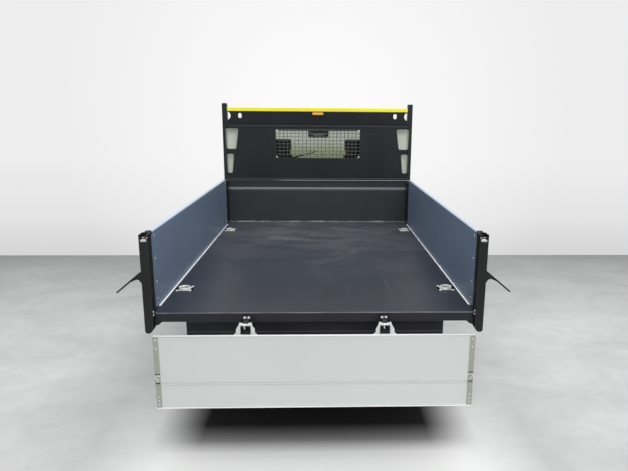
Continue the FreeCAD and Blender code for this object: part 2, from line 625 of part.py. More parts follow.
def cab_floor():
    path = [(CAB_REAR + CAB_WALL, CAB_FLOOR_HIGH), (RISER, CAB_FLOOR_HIGH), (RISER, CAB_FLOOR_LOW),
            (CAB_FRONT - CAB_WALL, CAB_FLOOR_LOW), (CAB_FRONT - CAB_WALL, CAB_FLOOR_LOW + CAB_FLOOR_SHEET),
            (RISER + CAB_FLOOR_SHEET, CAB_FLOOR_LOW + CAB_FLOOR_SHEET),
            (RISER + CAB_FLOOR_SHEET, CAB_FLOOR_HIGH + CAB_FLOOR_SHEET),
            (CAB_REAR + CAB_WALL, CAB_FLOOR_HIGH + CAB_FLOOR_SHEET)]
    return prism_x(path, -INNER_HALF + PLAY, INNER_HALF - PLAY)


def windscreen():
    low, high = WAIST_HEIGHT + 60, CAB_HEIGHT - 105
    inset = 14.0
    pane = prism_x([(screen_y(low - 30, inset), low - 30), (screen_y(high + 30, inset), high + 30),
                    (screen_y(high + 30, inset + GLASS), high + 30),
                    (screen_y(low - 30, inset + GLASS), low - 30)],
                   -SCREEN_HALF + 5, SCREEN_HALF - 5)
    return pane.common(screen_hole(0))


def rear_window():
    half, low, high = REAR_WINDOW
    return prism_y(rectangle(-half, half, low, high), CAB_REAR + 12, CAB_REAR + 12 + GLASS, 40)


def seat(x):
    base_top = CAB_FLOOR_HIGH + 110
    fold = base_top + 115
    shoulder = base_top + 670
    cushion = prism_x([(CAB_REAR + 130, base_top), (CAB_REAR + 620, base_top, 30),
                       (CAB_REAR + 620, base_top + 130, 50),
                       (CAB_REAR + 200, fold), (CAB_REAR + 130, fold)], x - 240, x + 240)
    back = prism_x([(CAB_REAR + 110, fold), (CAB_REAR + 215, fold), (CAB_REAR + 170, shoulder, 40),
                    (CAB_REAR + 70, shoulder, 30)], x - 235, x + 235)
    head = prism_y(rectangle(x - 135, x + 135, shoulder + 40, shoulder + 195), CAB_REAR + 75,
                   CAB_REAR + 160, 40)
    stalks = [rod_z(x + offset, CAB_REAR + 120, 7, shoulder - 10, shoulder + 50) for offset in (-60, 60)]
    base = box(x - 190, x + 190, CAB_REAR + 160, CAB_REAR + 590, CAB_FLOOR_HIGH + CAB_FLOOR_SHEET, base_top)
    return joined([cushion, back, head, base] + stalks)


SEAT_X = 385.0
STEER_CENTRE = Vector(-SEAT_X, CAB_REAR + 880.0, CAB_FLOOR_HIGH + 430.0)
STEER_TILT = math.radians(40)      # of the wheel's plane from level
STEER_AXIS = Vector(0, -math.sin(STEER_TILT), math.cos(STEER_TILT))


def steering_wheel():
    rim = Part.makeTorus(185, 14, STEER_CENTRE, STEER_AXIS)
    hub = Part.makeCylinder(45, 40, STEER_CENTRE - STEER_AXIS * 45, STEER_AXIS)
    spokes = []
    for turn in (0, 120, 240):
        bar = box(0, 180, -12, 12, -8, 8)
        bar.rotate(Vector(0, 0, 0), Vector(0, 0, 1), turn + 90)
        bar.rotate(Vector(0, 0, 0), Vector(1, 0, 0), math.degrees(STEER_TILT))
        bar.translate(STEER_CENTRE - STEER_AXIS * 12)
        spokes.append(bar)
    wheel = joined([rim, hub] + spokes)
    bore = Part.makeCylinder(18 + FIT, 35, STEER_CENTRE - STEER_AXIS * 50, STEER_AXIS)
    return wheel.cut(bore)


def dashboard(cab_front):
    low, top = CAB_FLOOR_LOW + 290, CAB_FLOOR_LOW + 575
    face = [(RISER + 130, low, 30), (RISER + 90, top - 85, 40), (RISER + 160, top, 40), (CAB_FRONT, top),
            (CAB_FRONT, low)]
    panel = prism_x(face, -INNER_HALF + PLAY, INNER_HALF - PLAY).cut(cab_front)
    panel = panel.common(box(-CAB_HALF, CAB_HALF, RISER, screen_y(top, CAB_WALL), low - 30, top + 85))
    column = Part.makeCylinder(18, 700, STEER_CENTRE - STEER_AXIS * 735, STEER_AXIS)
    column = column.cut(box(-CAB_HALF, 0, CAB_REAR, CAB_FRONT, 0, CAB_FLOOR_LOW + CAB_FLOOR_SHEET))
    bracket = box(-SEAT_X - 40, -SEAT_X + 40, RISER - 80, RISER + 120, low + 25, low + 65)
    return joined([panel, column, bracket])


def inside_mirror():
    z = CAB_HEIGHT - 150
    y = screen_y(z, 130)
    glass = prism_y(rectangle(-120, 120, z - 32, z + 32), y - 20, y, 20)
    stalk = rod(Vector(0, y - 8, z + 10), Vector(0, y - 60, CAB_HEIGHT - CAB_WALL + 10), 8)
    stalk = stalk.cut(box(-50, 50, y - 200, y + 200, CAB_HEIGHT - CAB_WALL, CAB_HEIGHT))
    return joined([glass, stalk])


def headlamps():
    low = FRAME_TOP + LAMP_RISE
    lamp = prism_y(rectangle(590, 830, low, low + 160), CAB_FRONT - CAB_WALL, CAB_FRONT + 12, 30)
    return both([lamp])


def front_bumper():
    shape = [(-CAB_HALF, CAB_FRONT - 160), (-CAB_HALF, CAB_FRONT + BUMPER_DEPTH, 90),
             (CAB_HALF, CAB_FRONT + BUMPER_DEPTH, 90), (CAB_HALF, CAB_FRONT - 160)]
    low = SILL_HEIGHT - BUMPER_HEIGHT
    shell = prism_z(shape, low, SILL_HEIGHT)
    hollow = prism_z([(-CAB_HALF + 40, CAB_FRONT - 170), (-CAB_HALF + 40, CAB_FRONT, 60),
                      (CAB_HALF - 40, CAB_FRONT, 60), (CAB_HALF - 40, CAB_FRONT - 170)],
                     low - 20, SILL_HEIGHT - 30)
    face = CAB_FRONT + BUMPER_DEPTH
    intake = prism_y(rectangle(-420, 420, low + 45, low + 105), face - 25, face + 10, 20)
    shell = shell.cut(hollow).cut(intake)
    stay = box(LONG_IN, LONG_OUT, FRAME_FRONT - 60, CAB_FRONT + 10, SILL_HEIGHT - 40, SILL_HEIGHT)
    stays = both([stay, box(LONG_IN, LONG_OUT, FRAME_FRONT - 60, FRAME_FRONT, SILL_HEIGHT, FRAME_BOTTOM)])
    return joined([shell] + stays)


def door_hinges():
    """Barrel hinges outside the right door: leaves and pins on the cab side, eyes on the door."""
    x, y = DOOR_AXIS
    fixed, moving = [], []
    for z in (FRAME_TOP + 60, FRAME_TOP + 480):
        fixed.append(rod_z(x, y, 5, z - 40, z + 40))
        for low in (z - 40, z + 15):
            fixed.append(rod_z(x, y, 9, low, low + 25))
            fixed.append(box(CAB_HALF, x, y, y + 50, low, low + 25))
        eye = rod_z(x, y, 9, z - 14, z + 14).cut(rod_z(x, y, 5 + FIT, z - 20, z + 20))
        leaf = box(CAB_HALF, x, y - 60, DOOR_FRONT - DOOR_GAP, z - 14,
                   z + 14).cut(rod_z(x, y, 9, z - 20, z + 20))
        moving += [eye, leaf]
    return fixed, moving


def door_mirror():
    """Mirror on a raised arm, and the foot that carries it below the door's window."""
    y = DOOR_FRONT - 60
    foot_top = WAIST_HEIGHT - 20
    foot = box(CAB_HALF, CAB_HALF + 12, y - 30, y + 30, foot_top - 110, foot_top)
    low = WAIST_HEIGHT + 60
    housing = prism_y(rectangle(CAB_HALF + 40, CAB_HALF + 190, low, low + 240), y - 30, y + 30, 35)
    arm = rod(Vector(CAB_HALF + 12, y, foot_top - 50), Vector(CAB_HALF + 85, y, low + 30), 11).cut(foot)
    return joined([housing, arm]), foot


# ---------------------------------------------------------------- load bed

# Cross members, as shares of the floor's length from its rear edge
CROSS_STEPS = (0.09, 0.23, 0.36, 0.50, 0.64, 0.765, 0.885)
CROSS_HALF = 25.0
CUP_HALF = (60.0, 45.0)   # ring cups, midway between the first and last pairs of cross members
RING_X = HALF - 10 - CUP_HALF[0]
RING_SPOTS = [(x, FLOOR_REAR + (CROSS_STEPS[i] + CROSS_STEPS[i + 1]) / 2 * BED_LENGTH)
              for x in (-RING_X, RING_X) for i in (0, len(CROSS_STEPS) - 2)]
SIDE_OUT = HALF + BOARD_THICK - 5
RAIL_IN = HALF - 5
BOLSTER_HALF = 710.0
EYE_PLATE = 12.0
BOARD_PIN = (SIDE_OUT + 18.0, FLOOR_TOP - 20.0)
POST_REAR = FLOOR_REAR - POST_PROUD
POST_FRONT = POST_REAR + POST_LENGTH
POST_IN, POST_OUT = HALF - 10, HALF - 10 + POST_WIDTH
LATCH = (POST_OUT + LATCH_OUT, FLOOR_TOP + LATCH_RISE)
BOARD_REAR = POST_FRONT + 8
BOARD_FRONT = HEAD_REAR - 6
BOARD_HINGES = (0.12, 0.5, 0.88)


def bed_floor():
    sheet = box(-SIDE_OUT, SIDE_OUT, FLOOR_REAR, HEAD_REAR, CROSS_TOP, FLOOR_TOP)
    lip = box(-HALF + 12, HALF - 12, FLOOR_REAR, FLOOR_REAR + 60, FLOOR_TOP - BEAM_HEIGHT, CROSS_TOP)
    corner = box(POST_IN, HALF + 100, FLOOR_REAR - 10, POST_FRONT, 0, 2 * FLOOR_TOP)
    sheet = sheet.cut(corner).cut(mirrored(corner))
    floor = joined([sheet, lip])
    for x, y in RING_SPOTS:
        across, along = CUP_HALF
        cup = prism_z(rectangle(x - across, x + across, y - along, y + along), FLOOR_TOP - 22, FLOOR_TOP, 12)
        pocket = prism_z(rectangle(x - across + 6, x + across - 6, y - along + 6, y + along - 6),
                         FLOOR_TOP - 16, FLOOR_TOP + 1, 8)
        floor = floor.fuse(cup).cut(pocket)
    return floor.removeSplitter()


def bed_frame():
    """Two longitudinals, the rear bolster, the tip lugs and the plate that carries the hoist eye."""
    pieces = []
    wall = 6.0
    y0, y1 = FLOOR_REAR + 110, HEAD_FRONT
    section = [(LONG_IN, LONG_BOTTOM), (LONG_OUT, LONG_BOTTOM), (LONG_OUT, CROSS_BOTTOM),
               (LONG_IN, CROSS_BOTTOM),
               (LONG_IN, CROSS_BOTTOM - wall), (LONG_OUT - wall, CROSS_BOTTOM - wall),
               (LONG_OUT - wall, LONG_BOTTOM + wall), (LONG_IN, LONG_BOTTOM + wall)]
    pieces += both([prism_y(section, y0, y1)])
    pieces.append(box(-BOLSTER_HALF, BOLSTER_HALF, FLOOR_REAR + 60, FLOOR_REAR + 110, LONG_BOTTOM - 10,
                      CROSS_TOP))
    pieces.append(box(-HALF + 12, HALF - 12, FLOOR_REAR + 60, FLOOR_REAR + 64, FLOOR_TOP - BEAM_HEIGHT,
                      CROSS_TOP))
    lug = [(PIVOT - 36, LONG_BOTTOM), (PIVOT - 29, PIVOT_HEIGHT - 29, 28),
           (PIVOT + 29, PIVOT_HEIGHT - 29, 28),
           (PIVOT + 36, LONG_BOTTOM)]
    middle = (LONG_IN + LONG_OUT) / 2
    bore = rod_x(PIVOT, PIVOT_HEIGHT, PIVOT_PIN + FIT, LONG_IN, LONG_OUT)
    pieces += both([prism_x(lug, middle - 6, middle + 6).cut(bore)])
    eye_y, eye_z = PIVOT + HOIST_EYE[0], PIVOT_HEIGHT + HOIST_EYE[1]
    plate_bottom = CROSS_BOTTOM - EYE_PLATE
    ear = [(eye_y - 40, plate_bottom), (eye_y - 24, eye_z - 24, 23), (eye_y + 24, eye_z - 24, 23),
           (eye_y + 40, plate_bottom)]
    pieces += both([prism_x(ear, 32, 44)])
    pieces.append(rod_x(eye_y, eye_z, 11, -48, 48))
    pieces.append(box(-LONG_IN - 20, LONG_IN + 20, eye_y - 50, eye_y + 50, plate_bottom, CROSS_BOTTOM))
    return pieces


def bed_cross_members():
    """Channels across the longitudinals, and the box section that carries the headboard."""
    wall = 6.0
    members = []
    for step in CROSS_STEPS:
        y = FLOOR_REAR + step * BED_LENGTH
        rear, front = y - CROSS_HALF, y + CROSS_HALF
        channel = [(rear, CROSS_BOTTOM), (front, CROSS_BOTTOM), (front, CROSS_BOTTOM + wall),
                   (rear + wall, CROSS_BOTTOM + wall), (rear + wall, CROSS_TOP - wall),
                   (front, CROSS_TOP - wall), (front, CROSS_TOP), (rear, CROSS_TOP)]
        members.append(prism_x(channel, -RAIL_IN, RAIL_IN))
    tube = box(-RAIL_IN, RAIL_IN, HEAD_REAR, HEAD_FRONT, CROSS_BOTTOM, CROSS_TOP)
    hollow = box(-RAIL_IN - 1, RAIL_IN + 1, HEAD_REAR + wall, HEAD_FRONT - wall, CROSS_BOTTOM + wall,
                 CROSS_TOP - wall)
    return members + [tube.cut(hollow)]


def bed_side_rails():
    rail = box(RAIL_IN, SIDE_OUT, POST_FRONT, HEAD_FRONT, CROSS_BOTTOM, CROSS_TOP)
    return both([joined([rail] + board_brackets())])


def bed_posts():
    """Posts with a catch pocket open at the top and rear, a rounded foot and a gusset under the beam."""
    x0, x1, side_wall = POST_IN, POST_OUT, 5
    top, tip, beam = FLOOR_TOP + POST_RISE, FLOOR_TOP - POST_DROP, FLOOR_TOP - BEAM_HEIGHT
    post = prism_y([(x0, beam - 24), (x1 - 30, tip, 14), (x1, tip, 14), (x1, top), (x0, top)], POST_REAR,
                   POST_FRONT)
    floor = top - POCKET_DEPTH
    pocket = prism_y([(x0 + side_wall, floor, 8), (x1 - side_wall, floor, 8), (x1 - side_wall, top + 1),
                      (x0 + side_wall, top + 1)], POST_REAR - 1, POST_FRONT - side_wall)
    gusset = prism_y([(x0 - 38, beam), (x0 - 20, beam - 16, 10), (x0 - 4, beam - 20), (x0 + 6, beam - 32),
                      (x0 + 6, beam)], FLOOR_REAR, FLOOR_REAR + 12)
    pieces = [post.cut(pocket), gusset]
    x, z = LATCH
    for y in (FLOOR_REAR - EAR_IN - EAR, FLOOR_REAR + EAR_IN):
        pieces.append(prism_y([(x1, z + 30), (x1, z - 42), (x1 + 16, z - 18, 4), (x1 + 28, z - 18, 6),
                               (x1 + 30, z + 5, 6)], y, y + EAR))
    pieces.append(rod_y(x, z, LATCH_PIN, FLOOR_REAR - EAR_IN - EAR - 2, FLOOR_REAR + EAR_IN + EAR + 2))
    return both([joined(pieces)])


EAR = 8.0             # thickness of the ears that hold the latch lever
EAR_IN = 16.0         # their inner faces from the floor's edge
LATCH_PIN = 5.0


def latch_lever():
    x, z = LATCH
    half = EAR_IN - PLAY
    tip = POST_OUT + 144
    blade = prism_y([(x - 3, z + 9.5), (x + 8, z + 12), (tip, z - 90, 2), (tip - 5, z - 96, 2),
                     (x + 49, z - 34),
                     (x + 18, z - 20), (x - 6, z - 8)], FLOOR_REAR - half, FLOOR_REAR + half)
    hub = rod_y(x, z, 10, FLOOR_REAR - half, FLOOR_REAR + half)
    return joined([hub, blade]).cut(rod_y(x, z, LATCH_PIN + FIT, FLOOR_REAR - 30, FLOOR_REAR + 30))


def headboard():
    y0, y1 = HEAD_REAR, HEAD_FRONT
    base, foot = FLOOR_TOP, CROSS_TOP
    inner, inner_top = HEAD_HALF - HEAD_POST, HEAD_HALF - HEAD_POST_TOP
    post = prism_y([(inner, foot), (HEAD_HALF, foot), (HEAD_HALF, base + HEAD_RISE, 8),
                    (inner_top + 4, base + HEAD_RISE, 8), (inner_top, base + 1100), (inner_top, base + 960),
                    (inner, base + 930)], y0, y1)
    lower = prism_x([(y0 + 14, foot), (y0 + 39, foot), (y0 + 39, base + 403), (y0 + 21, base + 403),
                     (y0 + 21, base + 314), (y0 + 14, base + 307)], -inner, inner)
    ledge = box(-inner, inner, y0 + 6, y0 + 44, base + 403, base + 423)
    bead = prism_x([(y0 + 14, base + 920, 2), (y0 + 23, base + 920), (y0 + 23, base + 932),
                    (y0 + 14, base + 932, 2)],
                   -inner, inner)
    sheet = box(-inner, inner, y0 + 20, y0 + 24, base + 423, base + 929)
    cutouts = [prism_y([(x[0], z0), (x[1], z0), (x[2], z1), (x[3], z1)], y0 - 1, y1 + 1, 15)
               for z0, z1, x in ((base + 706, base + 900, (791, 880, 885, 765)),
                                 (base + 475, base + 657, (833, 878, 880, 814)))]
    window = prism_y(rectangle(-WINDOW_HALF, WINDOW_HALF, base + WINDOW_LOW, base + WINDOW_HIGH), y0 - 1,
                     y1 + 1, 6)
    for hole in both(cutouts) + [window]:
        sheet = sheet.cut(hole)
    band = prism_x([(y0 + 20, base + 929), (y0 + 24, base + 929), (y0 + 10, base + 1063),
                    (y0 + 6, base + 1063)],
                   -inner, inner)
    slot = prism_y(rectangle(728, 760, base + 998, base + 1045), y0 - 1, y1 + 1, 15.9)
    for hole in both([rod_y(875, base + 1020, 42, y0 - 1, y1 + 1), slot]):
        band = band.cut(hole)
    return joined(both([post]) + [lower, ledge, bead, sheet, band])


WINDOW_HALF = 406.0
WINDOW_LOW, WINDOW_HIGH = 622.0, 892.0
MESH_PITCH = 38.0


def window_mesh():
    """Welded wire mesh in a flat rim on the front of the headboard."""
    y = HEAD_REAR + 24
    z0, z1 = FLOOR_TOP + WINDOW_LOW, FLOOR_TOP + WINDOW_HIGH
    rim = box(-WINDOW_HALF - 14, WINDOW_HALF + 14, y, y + 4, z0 - 14, z1 + 14)
    rim = rim.cut(box(-WINDOW_HALF, WINDOW_HALF, y - 1, y + 5, z0, z1))
    wires = []
    columns = int(2 * WINDOW_HALF / MESH_PITCH)
    for i in range(1, columns + 1):
        x = -WINDOW_HALF + i * 2 * WINDOW_HALF / (columns + 1)
        wires.append(box(x - 1.5, x + 1.5, y, y + 3, z0, z1))
    rows = int((z1 - z0) / MESH_PITCH)
    for i in range(1, rows + 1):
        z = z0 + i * (z1 - z0) / (rows + 1)
        wires.append(box(-WINDOW_HALF, WINDOW_HALF, y, y + 3, z - 1.5, z + 1.5))
    return joined([rim] + wires)


def top_rail():
    inner = HEAD_HALF - HEAD_POST_TOP
    z0 = FLOOR_TOP + 1063
    return prism_x(rectangle(HEAD_REAR + 2, HEAD_REAR + 46, z0, z0 + RAIL_HEIGHT), -inner, inner, 5)


def tie_down_rings():
    rings = []
    for x, y in RING_SPOTS:
        ring = Part.makeTorus(25, 5, Vector(x, y, FLOOR_TOP - 11), Vector(0, 0, 1))
        clip = box(x - 8, x + 8, y + 16, y + 34, FLOOR_TOP - 16, FLOOR_TOP - 4)
        rings.append(joined([ring, clip]))
    return rings


def side_board():
    z0 = FLOOR_TOP + PLAY
    board = prism_y(board_section(HALF, HALF + BOARD_THICK, z0, FLOOR_TOP + BOARD_HEIGHT), BOARD_REAR,
                    BOARD_FRONT)
    pieces = [board]
    x, z = BOARD_PIN
    face = HALF + BOARD_THICK
    for share in BOARD_HINGES:
        y = BOARD_REAR + share * (BOARD_FRONT - BOARD_REAR)
        pieces.append(rod_y(x, z, 9, y - 20, y + 20))
        pieces.append(box(face - BOARD_BEAD, face + 5, y - 20, y + 20, z0 + 1, z0 + 80))
        pieces.append(prism_y([(face, z), (x, z - 9), (x + 8, z), (face + 5, z + 30), (face, z + 30)],
                              y - 20, y + 20))
    board = joined(pieces)
    return board.cut(rod_y(x, z, 5 + FIT, BOARD_REAR, BOARD_FRONT))


def board_brackets():
    """Hinge ears and pins of the right side board, on the bed's side rail."""
    x, z = BOARD_PIN
    pieces = []
    for share in BOARD_HINGES:
        y = BOARD_REAR + share * (BOARD_FRONT - BOARD_REAR)
        for low in (y - 29, y + 21):
            pieces.append(prism_y([(SIDE_OUT, z + 14), (SIDE_OUT, z - 22), (x + 6, z - 9, 4),
                                   (x + 9, z + 7, 6),
                                   (x - 6, z + 10)], low, low + 8))
        pieces.append(rod_y(x, z, 5, y - 29, y + 29))
    return pieces


def gate_hinge_leaf(x):
    pin_y, pin_z = FLOOR_REAR - GATE_PIN_BACK, FLOOR_TOP - GATE_PIN_DROP
    face = FLOOR_REAR - GATE_BACK
    leaf = prism_y([(x - 32, pin_z + 18, 4), (x + 32, pin_z + 18, 4), (x + 58, pin_z - 86, 4),
                    (x - 58, pin_z - 86, 4)],
                   face, face + 6)
    leaf = leaf.cut(prism_y([(x - 25, pin_z - 36, 4), (x + 25, pin_z - 36, 4), (x + 25, pin_z + 30),
                             (x - 25, pin_z + 30)],
                            face - 1, face + 7))
    pieces = [leaf]
    for low in (x - 32, x + 14):
        pieces.append(rod_x(pin_y, pin_z, 10, low, low + 18))
        pieces.append(box(low, low + 18, face, pin_y, pin_z - 9, pin_z + 9))
    return joined(pieces).cut(rod_x(pin_y, pin_z, 6 + FIT, x - 40, x + 40))


def gate_brackets():
    """Fixed half of the tailgate hinges on the rear beam."""
    pin_y, pin_z = FLOOR_REAR - GATE_PIN_BACK, FLOOR_TOP - GATE_PIN_DROP
    pieces = []
    for x in (-GATE_HINGE_X, GATE_HINGE_X):
        pieces.append(box(x - 26, x + 26, FLOOR_REAR - 5, FLOOR_REAR, FLOOR_TOP - BEAM_HEIGHT, FLOOR_TOP - 6))
        arm = prism_x([(FLOOR_REAR - 4, pin_z + 22), (FLOOR_REAR - 4, pin_z), (pin_y, pin_z - 10),
                       (pin_y - 9, pin_z, 5), (pin_y, pin_z + 10)], x - 12, x + 12)
        pieces.append(arm)
        pieces.append(rod_x(pin_y, pin_z, 10, x - 12, x + 12))
        pieces.append(rod_x(pin_y, pin_z, 6, x - 36, x + 36))
    groups = [joined(pieces[i:i + 4]) for i in (0, 4)]
    return groups


def tailgate():
    back = FLOOR_REAR - GATE_BACK
    top = FLOOR_TOP - GATE_HANG
    half = GATE_WIDTH / 2
    plate = prism_x(board_section(back, back - GATE_THICK, top - GATE_HEIGHT, top), -half, half)
    caps = both([box(half - 28, half, back - GATE_THICK - 2, back + 2, top - GATE_HEIGHT + 4, top - 4)])
    leaves = [gate_hinge_leaf(x) for x in (-GATE_HINGE_X, GATE_HINGE_X)]
    return joined([plate] + caps + leaves)


# ---------------------------------------------------------------- hoist

def hoist_pieces():
    """Barrel and two stages along the line from the foot to the eye."""
    foot = Vector(0, PIVOT + HOIST_FOOT[0], PIVOT_HEIGHT + HOIST_FOOT[1])
    eye = Vector(0, PIVOT + HOIST_EYE[0], PIVOT_HEIGHT + HOIST_EYE[1])
    line = (eye - foot).normalize()
    length = (eye - foot).Length
    tube = lambda start, end, radius: rod(foot + line * start, foot + line * end, radius)
    barrel = tube(-50, length - 60, BARREL_RADIUS).cut(tube(-20, length, 38 + FIT))
    collar = rod_x(foot.y, foot.z, 30, -70, 70)
    barrel = joined([barrel, collar])
    barrel = barrel.cut(rod_x(foot.y, foot.z, 16 + FIT, -80, -58)).cut(
                       rod_x(foot.y, foot.z, 16 + FIT, 58, 80))
    barrel = barrel.cut(tube(-20, length, 38 + FIT))
    stage = tube(-18, length - 48, 38).cut(tube(10, length, 24 + FIT))
    stage_rod = tube(12, length - 18, 24)
    head = rod_x(eye.y, eye.z, 30, -24, 24)
    ram = joined([stage_rod, head]).cut(rod_x(eye.y, eye.z, 11 + 8, -30, 30))
    return barrel, stage, ram


# ---------------------------------------------------------------- build

def main():
    os.makedirs("parts", exist_ok=True)
    export("chassis_rails", chassis_rails())
    export("chassis_crossmembers", chassis_crossmembers())
    export("engine", engine())
    export("front_axle", front_axle())
    export("rear_axle", rear_axle())
    export("leaf_springs", leaf_springs())
    export("drive_shaft", drive_shaft())
    export("fuel_tank", fuel_tank())
    export("battery_box", battery_box())
    export("hydraulic_unit", hydraulic_unit())
    export("silencer", silencer())
    export("tipper_subframe", tipper_subframe())
    export("underrun_bar", underrun_bar())
    export("tail_lamps", tail_lamps())
    export("rear_mudguards", rear_mudguards())

    roof, back, front, sides, doors = cab_pieces()
    door_glass = prism_x(door_window_outline(), CAB_HALF - 24, CAB_HALF - 24 + GLASS)
    doors = doors.cut(prism_x(door_window_outline(), -CAB_WIDTH, CAB_WIDTH))
    fixed, moving = door_hinges()
    mirror, mirror_base = door_mirror()
    right_door = doors.common(box(0, CAB_WIDTH, CAB_REAR, CAB_FRONT, 0, CAB_HEIGHT))
    pocket, handle = door_handle()
    right_door = joined([right_door.cut(pocket), mirror_base, handle] + moving)
    right_side = joined([sides.common(box(0, CAB_WIDTH, CAB_REAR - 10, CAB_FRONT, 0, CAB_HEIGHT))])
    front = joined([front] + both(fixed))
    export("cab_floor", cab_floor())
    export("cab_back", back)
    export("cab_roof", roof)
    export("cab_front", front)
    export("cab_sides", both([right_side]))
    export("cab_glass", [windscreen(), rear_window()])
    export("headlamps", headlamps())
    export("front_bumper", front_bumper())
    export("dashboard", dashboard(front))
    export("steering_wheel", steering_wheel())
    export("seats", [seat(-SEAT_X), seat(SEAT_X)])
    export("inside_mirror", inside_mirror())
    for name, flip in (("right", False), ("left", True)):
        place = mirrored if flip else (lambda shape: shape)
        export(f"door_{name}", place(right_door))
        export(f"door_glass_{name}", place(door_glass))
        export(f"door_mirror_{name}", place(mirror))
        export(f"knuckle_{name}", place(knuckle()))
        side = -1 if flip else 1
        for end, y in (("front", FRONT_AXLE), ("rear", REAR_AXLE)):
            export(f"tyre_{end}_{name}", wheel_tyre(side * TRACK_HALF, y, side))
            export(f"rim_{end}_{name}", wheel_rim(side * TRACK_HALF, y, side))
        export(f"side_board_{name}", place(side_board()))
        export(f"latch_lever_{name}", place(latch_lever()))

    export("bed_floor", bed_floor())
    export("bed_frame", joined(bed_frame() + gate_brackets()))
    export("bed_cross_members", bed_cross_members())
    export("bed_side_rails", bed_side_rails())
    export("bed_posts", bed_posts())
    export("headboard", headboard())
    export("window_mesh", window_mesh())
    export("top_rail", top_rail())
    export("tie_down_rings", tie_down_rings())
    export("tailgate", tailgate())
    barrel, stage, ram = hoist_pieces()
    export("hoist_barrel", barrel)
    export("hoist_stage", stage)
    export("hoist_rod", ram)


main()
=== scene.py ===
"""Looks of a compact cab-over tipper truck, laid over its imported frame.

Metres, +Y forward, +X to the truck's right, +Z up, ground at z = 0.
"""

import itertools
import json
import math

import bmesh
import bpy
from mathutils import Matrix, Vector


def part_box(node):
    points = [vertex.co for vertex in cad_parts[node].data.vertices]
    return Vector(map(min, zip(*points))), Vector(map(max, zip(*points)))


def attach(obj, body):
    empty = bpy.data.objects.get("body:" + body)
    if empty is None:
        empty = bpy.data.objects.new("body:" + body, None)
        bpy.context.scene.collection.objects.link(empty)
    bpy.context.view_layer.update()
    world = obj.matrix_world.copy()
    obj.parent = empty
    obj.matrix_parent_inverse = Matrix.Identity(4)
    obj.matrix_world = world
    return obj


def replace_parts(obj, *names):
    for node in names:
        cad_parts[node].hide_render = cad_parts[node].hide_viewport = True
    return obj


bl_info = {
    "name": "Compact tipper truck",
    "version": (1, 0, 0),
    "blender": (4, 5, 0),
    "location": "View3D > Sidebar > Tipper",
    "description": "Finishes and small parts of a compact cab-over tipper truck",
    "category": "Add Mesh",
}

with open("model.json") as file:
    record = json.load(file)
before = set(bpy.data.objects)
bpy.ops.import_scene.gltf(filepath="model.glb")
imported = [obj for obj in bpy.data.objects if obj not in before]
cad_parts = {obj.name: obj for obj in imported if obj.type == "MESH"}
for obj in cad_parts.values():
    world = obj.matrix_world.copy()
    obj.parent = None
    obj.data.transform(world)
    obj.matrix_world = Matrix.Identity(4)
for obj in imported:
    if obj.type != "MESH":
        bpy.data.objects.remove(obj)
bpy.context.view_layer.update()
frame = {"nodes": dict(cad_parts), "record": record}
SIDES = (("left", -1), ("right", 1))
X, Y, Z = Vector((1, 0, 0)), Vector((0, 1, 0)), Vector((0, 0, 1))


def low(node):
    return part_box(node)[0]


def high(node):
    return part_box(node)[1]


def centre(node):
    return (low(node) + high(node)) / 2


FLOOR_REAR, FLOOR_TOP = low("bed_floor").y, high("bed_floor").z
HEAD_REAR = low("headboard").y
BOARD_IN, BOARD_TOP = low("side_board_right").x, high("side_board_right").z
GATE_REAR, GATE_LOW, GATE_HALF = low("tailgate").y, low("tailgate").z, high("tailgate").x
POST_REAR, POST_FRONT = low("bed_posts").y, high("bed_posts").y
POST_IN, POST_TOP = BOARD_IN - 0.010, high("bed_posts").z
POST_OUT = POST_IN + 0.045
RAIL_TOP = BOARD_TOP + 0.034        # rounded rail on the side boards
BOARD_END = HEAD_REAR - 0.185       # ahead of it the headboard's black wings cover the boards
PLATE_TOP = FLOOR_TOP - 0.099       # the tailgate's hinged edge, below its leaves
HINGE_X = 0.37
HINGE_FACE = GATE_REAR + 0.025      # rear of the tailgate's hinge leaves
CAB_HALF = high("cab_roof").x
CAB_FRONT, BUMPER_FRONT = high("cab_front").y, high("front_bumper").y
WHEEL_RADIUS = high("tyre_rear_right").z / 2


def paint_chip(red, green, blue):
    """Linear colour of an sRGB paint chip, for channels above 10."""
    return tuple(((c / 255 + 0.055) / 1.055) ** 2.4 for c in (red, green, blue))


# ---------------------------------------------------------------- settings

def colour_setting(name, description, chip):
    return bpy.props.FloatVectorProperty(name=name, description=description, subtype="COLOR",
                                         size=3, min=0, max=1, default=paint_chip(*chip))


def length_setting(name, description, default):
    return bpy.props.FloatProperty(name=name, description=description, default=default, min=0,
                                   unit="LENGTH")


